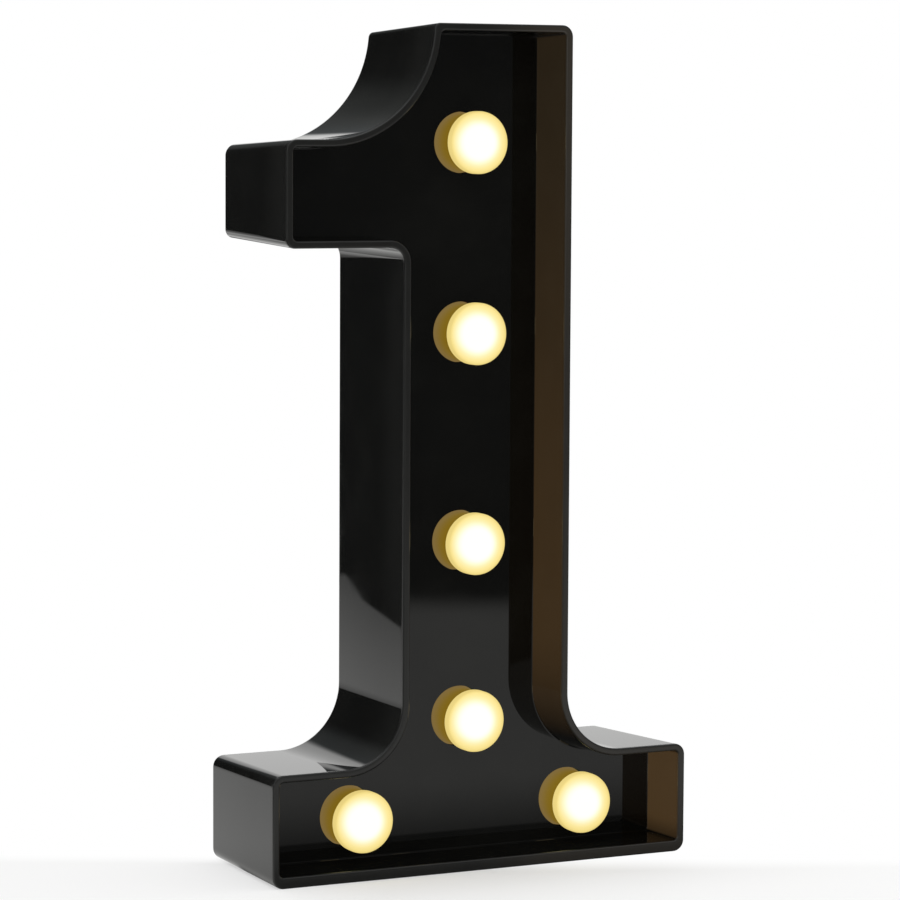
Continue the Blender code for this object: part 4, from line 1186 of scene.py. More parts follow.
@dataclass(frozen=True)
class LampResin(Finish):
    """Clear cast resin over a lit chip, brightest at its middle."""

    color: Color = (0.85, 0.72, 0.42, 1)
    pale: Color = (0.95, 0.86, 0.60, 1)
    light: Color = (0.9, 0.70, 0.32, 1)
    pale_light: Color = (1.0, 0.88, 0.55, 1)
    strength: float = 1.2
    swirl: float = 0.0012

    def surface(self, graph: Graph) -> Tap:
        """Return the shader.

        Args:
            graph: The tree.

        Returns:
            The shader.
        """
        swirl = graph.noise(graph.place(), self.swirl, 2)
        return graph.principled({
            "Base Color": graph.mix(swirl, self.color, self.pale),
            "Roughness": swirl * 0.08 + 0.08,
            "Emission Color": graph.mix(swirl, self.light, self.pale_light),
            "Emission Strength": self.strength,
            "IOR": 1.52,
        })


@dataclass(frozen=True)
class BoardLacquer(Finish):
    """Green solder lacquer over fine copper tracks."""

    color: Color = (0.010, 0.105, 0.040, 1)
    track: Color = (0.030, 0.190, 0.080, 1)
    lane: float = 0.0016
    lane_edge: Span = (0.0005, 0.0006)
    haze_span: Span = (0.3, 0.6)
    relief: float = 0.00002

    def surface(self, graph: Graph) -> Tap:
        """Return the shader.

        Args:
            graph: The tree.

        Returns:
            The shader.
        """
        place = graph.place()
        across, _, _ = graph.axes(place)
        lane = abs(graph.node("ShaderNodeMath", {"operation": "PINGPONG"},
                              {0: across, 1: self.lane})).rise(*self.lane_edge)
        haze = graph.noise(place, 0.003, 3)
        share = lane * haze.rise(*self.haze_span)
        return graph.principled({
            "Base Color": graph.mix(share, self.track, self.color),
            "Roughness": haze * 0.15 + 0.30,
            "Normal": graph.bump(lane, self.relief),
        })


@dataclass(frozen=True)
class PlatedMetal(Finish):
    """Plated steel with fine drawn lines and small stains."""

    color: Color = (0.60, 0.60, 0.58, 1)
    stain: Color = (0.42, 0.40, 0.36, 1)
    spot: float = 0.0035
    spot_span: Span = (0.5, 0.8)
    roughness: float = 0.24
    line: float = 0.00018
    line_rough: float = 0.16
    drawn: Place = (1, 1, 0.08)
    relief: float = 0.000008

    def surface(self, graph: Graph) -> Tap:
        """Return the shader.

        Args:
            graph: The tree.

        Returns:
            The shader.
        """
        place = graph.place()
        drawn = graph.node("ShaderNodeMapping", {}, {"Vector": place, "Scale": self.drawn})
        lines = graph.noise(drawn, self.line, 2)
        spots = graph.noise(place, self.spot, 4)
        return graph.principled({
            "Base Color": graph.mix(spots.rise(*self.spot_span), self.color, self.stain),
            "Metallic": 1.0,
            "Roughness": lines * self.line_rough + (self.roughness - self.line_rough / 2),
            "Normal": graph.bump(lines, self.relief),
        })


@dataclass(frozen=True)
class CellWrap(Finish):
    """Printed film round a cell: a pale band at one end, bare steel at both ends."""

    low: float = 0.0
    high: float = 0.05
    body: Color = (0.030, 0.060, 0.085, 1)
    band: Color = (0.46, 0.47, 0.48, 1)
    band_edge: Span = (0.776, 0.782)
    ring: Color = (0.62, 0.62, 0.60, 1)
    ring_starts: Span = (0.742, 0.748)
    ring_ends: Span = (0.765, 0.759)
    steel: Color = (0.62, 0.61, 0.58, 1)
    bare: Span = (0.0064, 0.0066)
    coat: float = 0.5

    def surface(self, graph: Graph) -> Tap:
        """Return the shader.

        Args:
            graph: The tree.

        Returns:
            The shader.
        """
        place = graph.place()
        _, _, up = graph.axes(place)
        share = (up - self.low) * (1 / (self.high - self.low))
        ring = share.rise(*self.ring_starts) * share.rise(*self.ring_ends)
        film = graph.mix(share.rise(*self.band_edge), self.body, self.band)
        film = graph.mix(ring, film, self.ring)
        steel = 1 - graph.stored(FROM_AXIS).rise(*self.bare)
        scuff = graph.noise(place, 0.004, 5)
        return graph.principled({
            "Base Color": graph.mix(steel, film, self.steel),
            "Metallic": steel,
            "Roughness": scuff * 0.22 + 0.16,
            "Normal": graph.bump(scuff, 0.00002),
            "Coat Weight": (1 - steel) * self.coat,
            "Coat Roughness": 0.08,
        })


@dataclass(frozen=True)
class Insulation(Finish):
    """Soft vinyl round a wire."""

    lead: Lead = Lead.RED
    pale_gain: float = 1.3
    pale_lift: float = 0.004

    def surface(self, graph: Graph) -> Tap:
        """Return the shader.

        Args:
            graph: The tree.

        Returns:
            The shader.
        """
        color = self.lead.value
        pale = (*(part * self.pale_gain + self.pale_lift for part in color[:3]), 1)
        cloud = graph.noise(graph.place(), 0.003, 3)
        return graph.principled({
            "Base Color": graph.mix(cloud, color, pale),
            "Roughness": cloud * 0.2 + 0.32,
            "Normal": graph.bump(cloud, 0.00003),
        })


@dataclass(frozen=True)
class ResistorLacquer(Finish):
    """Tan lacquer with four colour rings, and bare leads."""

    low: float = 0.0
    body_low: float = 0.0015
    body_high: float = 0.0051
    tan: Color = (0.50, 0.33, 0.17, 1)
    rings: Stops = (
        (0.16, (0.20, 0.05, 0.02, 1)),
        (0.36, (0.01, 0.01, 0.01, 1)),
        (0.56, (0.20, 0.05, 0.02, 1)),
        (0.80, (0.50, 0.38, 0.10, 1)),
    )
    ring_width: float = 0.08
    tinned: Color = (0.60, 0.60, 0.58, 1)
    end: float = 0.03

    def surface(self, graph: Graph) -> Tap:
        """Return the shader.

        Args:
            graph: The tree.

        Returns:
            The shader.
        """
        place = graph.place()
        _, _, up = graph.axes(place)
        length = self.body_high - self.body_low
        share = (up - self.low - self.body_low) * (1 / length)
        stops = [(0.0, self.tan)]
        for start, color in self.rings:
            stops += [(start, color), (start + self.ring_width, self.tan)]
        inside = share.rise(0.0, self.end) * share.rise(1.0, 1.0 - self.end)
        return graph.principled({
            "Base Color": graph.mix(inside, self.tinned, graph.ramp(share, stops, "CONSTANT")),
            "Metallic": 1 - inside,
            "Roughness": graph.noise(place, 0.001, 2) * 0.1 + 0.3,
        })


BLACK_GLOSS = GlossPlastic("black_gloss")
# The tray walls' copy, with a painted warm glow
PAINTED_GLOW_WALL = GlossPlastic("black_gloss_lit_wall", lit=True)
BLACK_SATIN = SatinPlastic("black_satin")
SWITCH_PLASTIC = SatinPlastic("switch_plastic", color=(0.016, 0.016, 0.018, 1),
                              pale=(0.024, 0.024, 0.026, 1), roughness=0.44, grain=0.0003)
CAP_PLASTIC = FrostedCap("frosted_cap_lit")
RESIN = LampResin("lamp_resin")
LACQUER = BoardLacquer("board_lacquer")
NICKEL = PlatedMetal("nickel_plate")
ZINC = PlatedMetal("zinc_plate", color=(0.56, 0.57, 0.60, 1), stain=(0.40, 0.40, 0.42, 1),
                   roughness=0.30)


# Sub-assemblies


@dataclass
class SetOut:
    """Copies of a small piece, set out on places with each turned about its own axis."""

    facing: Facing = Facing.FRONT
    spin: float = 0.0
    seed: int = 7

    def mesh(self, name: str, part: Mesh, places: Sequence[Vector],
             finish: Finish) -> Mesh:
        """Return all the copies as one mesh.

        Args:
            name: The tree's name.
            part: The mesh to repeat, its own axis along Z.
            places: Where each copy's origin goes.
            finish: The finish of them all.

        Returns:
            The mesh.
        """
        recipe = Recipe(name)
        part_thing = link(bpy.data.objects.new(f"{name}_part", part))
        source = recipe.node("GeometryNodeObjectInfo", {},
                             {"Object": recipe.ask("Part", "piece"), "As Instance": True},
                             "Geometry")
        copies = recipe.node("GeometryNodeInstanceOnPoints", {}, {
            "Points": recipe.host(),
            "Instance": source,
            "Rotation": recipe.ask("Facing", "turn"),
        })
        swing = recipe.ask("Largest spin")
        random = recipe.node("FunctionNodeRandomValue", {"data_type": "FLOAT"},
                             {2: 0.0, 3: swing, "Seed": recipe.ask("Seed", "count")}, 1)
        about = recipe.node("ShaderNodeCombineXYZ", {}, {"Z": random})
        recipe.serve(recipe.node("GeometryNodeRotateInstances", {}, {
            "Instances": copies, "Rotation": about, "Local Space": True}))
        mesh = recipe.run(points_mesh(name, places), {
            "Part": part_thing,
            "Facing": (self.facing.value, 0.0, 0.0),
            "Largest spin": self.spin,
            "Seed": self.seed,
            "Finish": finish.material(),
        })
        bpy.data.objects.remove(part_thing)
        return mesh


@dataclass
class LampSet:
    """The six lit caps, with the lamps and boards that stand behind them."""

    head_radius: float = 0.0081
    head_side: float = 0.0023
    head_soft: float = 0.00025
    dome: float = 0.0026
    dome_fullness: float = 0.9
    dome_steps: int = 12
    setback: float = 0.0028
    neck_top_radius: float = 0.0073
    neck_radius: float = 0.0077
    neck_taper: float = 0.0001
    step: float = 0.0004
    cap_wall: float = 0.0012
    inner_drop: float = 0.134
    flange_radius: float = 0.0094
    flange_thick: float = 0.0010
    segments: int = 64
    names: list[str] = field(default_factory=lambda: numbered("bulb_cap"))

    def places(self) -> list[Vector]:
        """Return where each lamp's axis meets the panel's face."""
        return [Vector((middle(name).x, LAYERS.panel_front, middle(name).z))
                for name in self.names]

    def profile(self) -> Outline:
        """Set out a cap.

        Returns:
            Its half section, heights from the panel's face.
        """
        front = LAYERS.recess - self.setback
        side_top = front - self.dome
        side_low = side_top - self.head_side
        flange_top = -LAYERS.panel - LAYERS.gap
        flange_low = flange_top - self.flange_thick
        soft = self.head_soft
        points = [(self.head_radius * math.sin(a) ** self.dome_fullness,
                   side_top + self.dome * math.cos(a))
                  for a in (math.pi / 2 * i / self.dome_steps for i in range(self.dome_steps))]
        points += [
            (self.head_radius, side_top),
            (self.head_radius, side_low + soft),
            (self.head_radius - soft, side_low),
            (self.neck_top_radius, side_low - self.step),
            (self.neck_top_radius + self.neck_taper, side_low / 2),
            (self.neck_radius, flange_top),
            (self.flange_radius, flange_top),
            (self.flange_radius, flange_low),
            (self.neck_radius - self.cap_wall, flange_low),
            (self.neck_top_radius - self.cap_wall, side_low),
            (self.head_radius - self.cap_wall, side_top),
            (self.head_radius / 2, front - self.cap_wall - self.dome * self.inner_drop),
            (0, front - self.cap_wall),
        ]
        return points

    def build(self) -> None:
        """Make the caps, and dress the lamps and boards."""
        cap = lathe("cap", self.profile(), self.segments)
        mesh = SetOut(Facing.FRONT).mesh("lamp_caps", cap, self.places(), CAP_PLASTIC)
        caps = piece("lamp_caps", mesh, [CAP_PLASTIC], HOUSING, self.names)
        caps.visible_glossy = False
        dress(RESIN, *numbered("led"))
        dress(LACQUER, *numbered("led_board"))


@dataclass
class Housing:
    """The moulded numeral: drafted wall, open tray, panel, screw bosses and stakes."""

    lamps: Sequence[Vector]
    rim_round: float = 0.00038
    rim_inner: float = 0.0006
    back_round: float = 0.0002
    tray_round: float = 0.0002
    tray_foot: float = 0.0029
    inner_corner: float = 0.0012
    least_corner: float = 0.0006
    hole_gap: float = 0.0003
    hole_radius: float = 0.0077
    hole_segments: int = 64
    boss_radius: float = 0.0030
    boss_flare: Point = (0.0004, 0.002)
    boss_taper: float = 0.0001
    boss_soft: float = 0.0002
    pilot_radius: float = 0.0014
    pilot_depth: float = 0.0092
    stake_radius: float = 0.0010
    stake_head: float = 0.0018
    stake_head_thick: float = 0.0008
    stake_pitch: float = 0.0224
    quarter: tuple[float, ...] = tuple(math.pi / 2 * n / 5 for n in range(6))

    @property
    def coarse(self) -> tuple[float, ...]:
        """Return the angles of a small round's steps."""
        return self.quarter[::2] + (math.pi / 2,)

    def inside(self) -> list[Ring]:
        """Set out the tray.

        Returns:
            Its rings, from the panel forward to the rim.
        """
        hold, foot, soft, inner = FACE.hold, self.tray_foot, self.tray_round, self.rim_inner
        front, panel = LAYERS.front, LAYERS.panel_front
        tray = LAYERS.wall + LAYERS.draft_at(panel)
        rows = [(panel, tray + soft + hold, foot + soft + hold, self.least_corner)]
        for a in self.coarse:
            off = soft * (1 - math.sin(a))
            rows.append((panel - soft * (1 - math.cos(a)), tray + off, foot + off,
                         max(self.inner_corner - off, self.least_corner)))
        flat = panel - soft - hold
        rows.append((flat, LAYERS.wall + LAYERS.draft_at(flat), foot, self.inner_corner))
        rows.append((front + inner + hold, LAYERS.wall, foot, self.inner_corner))
        for a in self.quarter:
            off = inner * (1 - math.cos(a))
            rows.append((front + inner * (1 - math.sin(a)), LAYERS.wall - off, foot - off,
                         self.inner_corner + off))
        return rows

    def outside(self) -> list[Ring]:
        """Set out the rest of the wall.

        Returns:
            Its rings, from the rim over the outside and the back to the panel's back.
        """
        hold, rim, small = FACE.hold, self.rim_round, self.back_round
        front, back, draft = LAYERS.front, LAYERS.back, LAYERS.draft
        rows = []
        for a in self.quarter:
            off = rim * (1 - math.sin(a))
            rows.append((front + rim * (1 - math.cos(a)), off, off, FACE.corner_radius - off))
        length = LAYERS.depth - rim
        rows.append((front + rim + hold, draft * hold / length, 0, FACE.corner_radius))
        rows.append((back - small - hold, draft * (1 - (small + hold) / length), 0,
                     FACE.corner_radius))
        for a in self.coarse:
            off = small * (1 - math.cos(a))
            rows.append((back - small * (1 - math.sin(a)), draft + off, off,
                         FACE.corner_radius - off))
        for a in self.coarse:
            off = small * (1 - math.sin(a))
            rows.append((back - small * (1 - math.cos(a)), LAYERS.cavity_inset - off,
                         LAYERS.wall - off, self.inner_corner + off))
        rows.append((LAYERS.panel_back, LAYERS.cavity_inset, LAYERS.wall, self.inner_corner))
        return rows

    def shell(self) -> Mesh:
        """Make the wall and the panel, with a hole for each lamp.

        Returns:
            The mesh, the tray's walls in the second slot.
        """
        inside, outside = self.inside(), self.outside()
        rings = [[(x, y, z) for x, z in FACE.outline(inset, foot, corner)]
                 for y, inset, foot, corner in inside + outside]
        slots = [1] * len(inside) + [0] * (len(outside) - 1)
        ys = (LAYERS.panel_front - OVERRUN, LAYERS.panel_back + OVERRUN)
        holes = [rod("hole", self.hole_radius + self.hole_gap, ys, p.x, p.z,
                     self.hole_segments) for p in self.lamps]
        return Shaping(skin("front_shell", rings, slots)).cut(*holes).done()

    def boss_profile(self) -> Outline:
        """Set out a screw boss.

        Returns:
            Its half section, its base at height zero.
        """
        height = LAYERS.cover_front - LAYERS.gap - LAYERS.panel_back + SINK
        floor = height - self.pilot_depth
        wide, high = self.boss_flare
        top, soft = self.boss_radius - self.boss_taper, self.boss_soft
        return [(0, 0), (self.boss_radius + wide, 0), (self.boss_radius, high),
                (top, height - soft), (top - soft, height),
                (self.pilot_radius + soft, height), (self.pilot_radius, height - soft),
                (self.pilot_radius, floor), (0, floor)]

    def stake_profile(self) -> Outline:
        """Set out a lamp stake.

        Returns:
            Its half section, with its melted head.
        """
        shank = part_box("led_board_1")[1].y + LAYERS.gap - LAYERS.panel_back + SINK
        dome = [(self.stake_head * math.cos(a), shank + self.stake_head_thick * math.sin(a))
                for a in self.quarter[:-1]]
        return [(0, 0), (self.stake_radius, 0), (self.stake_radius, shank), *dome,
                (0, shank + self.stake_head_thick)]

    def build(self) -> None:
        """Make the housing and what stands on the back of its panel."""
        piece("numeral_housing", self.shell(), [BLACK_GLOSS, PAINTED_GLOW_WALL], HOUSING,
              ["front_housing"])
        base = LAYERS.panel_back - SINK
        screws = [middle(name) for name in numbered("cover_screw")]
        bosses = SetOut(Facing.BACK).mesh(
            "screw_bosses", lathe("boss", self.boss_profile(), 32),
            [Vector((p.x, base, p.z)) for p in screws], BLACK_GLOSS)
        piece("screw_bosses", shaded(bosses), [BLACK_GLOSS], HOUSING)
        stakes = SetOut(Facing.BACK).mesh(
            "board_stakes", lathe("stake", self.stake_profile(), 20),
            [Vector((x, base, p.z)) for p in self.lamps
             for x in around(p.x, self.stake_pitch / 2)], BLACK_GLOSS)
        piece("board_stakes", shaded(stakes), [BLACK_GLOSS], HOUSING)


@dataclass
class BatteryBay:
    """Sizes that the back cover's bay and its door share."""

    cell_radius: float = 0.00725
    pitch: float = 0.0155
    wall: float = 0.0014
    ledge: float = 0.0015
    flank: float = 0.0008
    saddle: float = math.radians(52)
    low: float = 0.0815
    high: float = 0.1385
    tab_width: float = 0.0032
    tab_thick: float = 0.0012
    tab_reach: float = 0.0018
    tab_inset: float = 0.0019
    corner: float = 0.0015
    steps: int = 24

    @property
    def cell_y(self) -> float:
        """Return the depth of the cells' axes."""
        return LAYERS.cover_front - self.cell_radius - LAYERS.gap

    @property
    def half(self) -> float:
        """Return half the bay's width."""
        return self.pitch / 2 + self.cell_radius + LAYERS.gap

    @property
    def opening_half(self) -> float:
        """Return half the door opening's width."""
        return self.half + self.ledge

    @property
    def opening(self) -> Span:
        """Return the door opening's lowest and highest Z."""
        return self.low - self.ledge, self.high + self.ledge

    @property
    def tab_xs(self) -> Span:
        """Return where the door's hook tabs stand."""
        return around(FACE.stem_x, self.half - self.tab_inset)

    @property
    def tab_floor(self) -> float:
        """Return the depth of the hook tabs' underside."""
        return LAYERS.cover_front - LAYERS.gap - self.tab_thick

    def section(self, margin: float, half: float, mouth: float) -> Outline:
        """Return the bay's section of (x, y) points: two troughs, a saddle and a mouth.

        Args:
            margin: How much wider than the cells each trough is.
            half: Half the width at the mouth.
            mouth: The depth of the mouth.

        Returns:
            The outline.
        """
        radius = self.cell_radius + LAYERS.gap + margin
        left_x, right_x = around(FACE.stem_x, self.pitch / 2)
        left = arc((left_x, self.cell_y), radius, math.pi, math.tau - self.saddle, self.steps)
        right = arc((right_x, self.cell_y), radius, math.pi + self.saddle, math.tau,
                    self.steps)
        low, high = around(FACE.stem_x, half)
        mouth_ends = [(high, mouth), (low, mouth)]
        if half > self.pitch / 2 + radius:
            mouth_ends = [(high, self.cell_y), *mouth_ends, (low, self.cell_y)]
        return left + right + mouth_ends


@dataclass
class CoverScrew:
    """One pan-head screw with a cross recess and a ridged shank."""

    radius: float = 0.0011
    length: float = 0.0080
    head_radius: float = 0.0024
    head_thick: float = 0.0009
    head_fullness: float = 0.75
    head_side: float = 0.45
    head_steps: int = 8
    soft: float = 0.0001
    first_ridge: float = 0.0012
    ridge_pitch: float = 0.0006
    ridge_half: float = 0.00022
    core: float = 0.78
    tip: float = 0.0004
    tip_share: float = 0.5
    neck_share: float = 0.8
    recess: Place = (0.0026, 0.00058, 0.0014)
    recess_rise: float = 0.0002
    segments: int = 40

    def profile(self) -> Outline:
        """Set out the screw.

        Returns:
            Its half section, its head's seat at height zero.
        """
        head, thick, core = self.head_radius, self.head_thick, self.radius * self.core
        points = [(0, thick)]
        points += [(head * math.sin(a) ** self.head_fullness,
                    thick * (self.head_side + (1 - self.head_side) * math.cos(a)))
                   for a in (math.pi / 2 * n / self.head_steps
                             for n in range(1, self.head_steps + 1))]
        points += [(head, self.soft), (head - self.soft, 0),
                   (self.radius * self.neck_share, 0)]
        height = -self.first_ridge
        while height > self.radius - self.length:
            points += [(core, height), (self.radius, height - self.ridge_half),
                       (core, height - self.ridge_half * 2)]
            height -= self.ridge_pitch
        points.append((self.radius * self.tip_share, self.tip - self.length))
        return points + [(0, -self.length)]

    def mesh(self) -> Mesh:
        """Make the screw.

        Returns:
            Its mesh, its axis along Z.
        """
        bars = []
        for turn in (0, math.pi / 2):
            bar = box("bar", *(around(0, size / 2) for size in self.recess))
            bar.transform(Matrix.Translation((0, 0, self.head_thick + self.recess_rise))
                          @ Matrix.Rotation(turn, 4, "Z"))
            bars.append(bar)
        cross = Shaping(bars[0]).join(bars[1]).done()
        return Shaping(lathe("screw", self.profile(), self.segments)).cut(cross).done()


@dataclass
class BackCover:
    """The satin back cover with its bay, wells, keyhole, marks and screws."""

    bay: BatteryBay
    screw: CoverScrew
    edge_round: float = 0.0002
    corner: float = 0.0012
    well_depth: float = 0.0012
    keyhole_z: float = 0.2030
    keyhole_radius: float = 0.0040
    slot_width: float = 0.0042
    slot_rise: float = 0.0075
    pad_size: Point = (0.0260, 0.0105)
    pad_corner: float = 0.0010
    pad_thick: float = 0.0020
    well_size: Point = (0.0120, 0.0080)
    switch_well: float = 0.0026
    knob_size: Point = (0.0030, 0.0026)
    travel: float = 0.0030
    pilot_radius: float = 0.0012
    pilot_depth: float = 0.0032
    slit_width: float = 0.0036
    slit_thick: float = 0.0004
    slit_drop: float = 0.0038
    window_reach: float = 0.0018
    rib_thick: float = 0.0012
    rib_height: float = 0.0018
    rib_margin: float = 0.0095
    foot_rib: float = 0.64
    lamp_heights: Span = (0.1750, 0.3873)
    mark_height: float = 0.0030
    mark_thick: float = 0.00020
    mark_reach: float = 0.0042

    @property
    def switch_z(self) -> float:
        """Return the height of the switch."""
        return middle("switch_knob").z

    def switch_plot(self, size: Point, corner: float) -> Outline:
        """Return a round-cornered outline about the switch."""
        return rounded_rectangle(around(FACE.stem_x, size[0] / 2),
                                 around(self.switch_z, size[1] / 2), corner)

    def screw_places(self) -> list[Vector]:
        """Return where each cover screw's head sits."""
        seat = LAYERS.back - self.well_depth
        return [Vector((middle(name).x, seat, middle(name).z))
                for name in numbered("cover_screw")]

    def keyhole(self) -> Mesh:
        """Make the tool for the hanging keyhole.

        Returns:
            The mesh.
        """
        half = self.slot_width / 2
        foot = math.acos(half / self.keyhole_radius)
        outline = arc((FACE.stem_x, self.keyhole_z), self.keyhole_radius, math.pi - foot,
                      math.tau + foot, 48)
        outline += arc((FACE.stem_x, self.keyhole_z + self.slot_rise), half, 0, math.pi, 20)
        return slab("keyhole", outline, LAYERS.cover_front - OVERRUN, LAYERS.back + OVERRUN)

    def raised(self) -> list[Mesh]:
        """Make what stands on the cover's inner face.

        Returns:
            The bay's tub, the switch's pad and two stiffening ribs.
        """
        bay, front = self.bay, LAYERS.cover_front
        tub = column("tub", bay.section(bay.wall, bay.opening_half + bay.flank, front + SINK),
                     bay.opening[0] - bay.flank, bay.opening[1] + bay.flank)
        pad = slab("pad", self.switch_plot(self.pad_size, self.pad_corner),
                   front - self.pad_thick, front + SINK)
        ys = (front - self.rib_height, front + SINK)
        foot_z = FACE.foot_height * self.foot_rib
        stem_z = FACE.height * sum(self.lamp_heights) / 2 - self.rib_margin
        stem_half = (FACE.stem_right - FACE.stem_left) / 2 - self.rib_margin
        ribs = [box("rib", around(x, half), ys, (z, z + self.rib_thick))
                for x, half, z in ((0, FACE.foot_width / 2 - self.rib_margin, foot_z),
                                   (FACE.stem_x, stem_half, stem_z))]
        return [tub, pad, *ribs]

    def windows(self) -> list[Mesh]:
        """Make the tools for what opens at the bay's ends.

        Returns:
            A window for each of the door's hooks and a slit for each contact's tag.
        """
        bay, gap = self.bay, LAYERS.gap
        low = LAYERS.back - math.hypot(bay.tab_reach, LAYERS.back - bay.tab_floor) - gap
        tools = [box("window", around(x, bay.tab_width / 2 + gap),
                     (low, LAYERS.cover_front + gap),
                     (bay.opening[0] - self.window_reach, bay.low + OVERRUN))
                 for x in bay.tab_xs]
        y = bay.cell_y - self.slit_drop
        tools += [box("slit", around(middle(node).x, self.slit_width / 2),
                      (y - gap, y + self.slit_thick + gap),
                      (bay.high - OVERRUN, bay.opening[1] + self.window_reach))
                  for node in ("contact_positive", "contact_negative")]
        return tools

    def wells(self) -> list[Mesh]:
        """Make the tools for what is sunk into the cover's back.

        Returns:
            A well for each screw head, the keyhole and the switch's well.
        """
        back = LAYERS.back
        tools = [rod("well", self.screw.head_radius + LAYERS.gap, (p.y, back + OVERRUN),
                     p.x, p.z) for p in self.screw_places()]
        well = slab("switch_well", self.switch_plot(self.well_size, self.bay.corner),
                    back - self.switch_well, back + OVERRUN)
        return [*tools, self.keyhole(), well]

    def bores(self) -> list[Mesh]:
        """Make the tools for the switch's own holes.

        Returns:
            The knob's slot and the pilots of the switch's screws.
        """
        top = LAYERS.cover_front - self.pad_thick - OVERRUN
        slot = box("slot",
                   around(FACE.stem_x, (self.knob_size[0] + self.travel) / 2 + LAYERS.gap),
                   (top, LAYERS.back - self.switch_well + OVERRUN),
                   around(self.switch_z, self.knob_size[1] / 2 + LAYERS.gap))
        pilots = [rod("pilot", self.pilot_radius, (top, top + OVERRUN + self.pilot_depth),
                      middle(name).x, self.switch_z, 24)
                  for name in numbered("switch_screw", 2)]
        return [slot, *pilots]

    def plate(self) -> Mesh:
        """Make the cover.

        Returns:
            The mesh, with everything on it and cut through it.
        """
        bay, gap = self.bay, LAYERS.gap
        front, back = LAYERS.cover_front, LAYERS.back
        outline = FACE.outline(LAYERS.cavity_inset + gap, LAYERS.wall + gap, self.corner)
        hollow = column("hollow", bay.section(0, bay.half, front + OVERRUN), bay.low, bay.high)
        mouth = slab("mouth", rounded_rectangle(around(FACE.stem_x, bay.opening_half),
                                                bay.opening, bay.corner),
                     front, back + OVERRUN)
        shanks = [rod("shank", self.screw.radius + gap, (front - OVERRUN, p.y + SINK),
                      p.x, p.z, 32) for p in self.screw_places()]
        shape = Shaping(slab("cover", outline, front, back, self.edge_round))
        shape.join(*self.raised()).cut(hollow).cut(mouth).cut(*self.windows())
        return shape.cut(*shanks).cut(*self.wells()).cut(*self.bores()).done()

    def text_mark(self, text: str, x: float, z: float) -> Mesh:
        """Make small raised letters on the back face, read from behind.

        Args:
            text: The letters.
            x: The place of their middle across.
            z: The height of their middle.

        Returns:
            The mesh.
        """
        curve = bpy.data.curves.new("mark", "FONT")
        curve.body = text
        curve.size = self.mark_height
        curve.align_x = "CENTER"
        curve.align_y = "CENTER"
        curve.extrude = self.mark_thick
        mesh = frozen(link(bpy.data.objects.new("mark", curve)))
        turn = Matrix.Rotation(math.pi, 4, "Z") @ Matrix.Rotation(math.pi / 2, 4, "X")
        mesh.transform(Matrix.Translation((x, LAYERS.back, z)) @ turn)
        bm = bmesh.new()
        bm.from_mesh(mesh)
        bmesh.ops.remove_doubles(bm, verts=bm.verts, dist=0.000001)
        return closed("mark", bm)

    def build(self) -> None:
        """Make the cover, its screws and its marks."""
        piece("rear_cover", self.plate(), [BLACK_SATIN], HOUSING, ["back_cover"])
        screws = SetOut(Facing.BACK, spin=math.pi / 2).mesh(
            "cover_screws", self.screw.mesh(), self.screw_places(), ZINC)
        piece("cover_screws", shaded(screws), [ZINC], HOUSING, numbered("cover_screw"))
        places = around(FACE.stem_x, self.well_size[0] / 2 + self.mark_reach)
        marks = [self.text_mark(text, x, self.switch_z)
                 for text, x in zip(("ON", "OFF"), places)]
        piece("switch_marks", gathered("switch_marks", marks), [BLACK_SATIN], HOUSING)


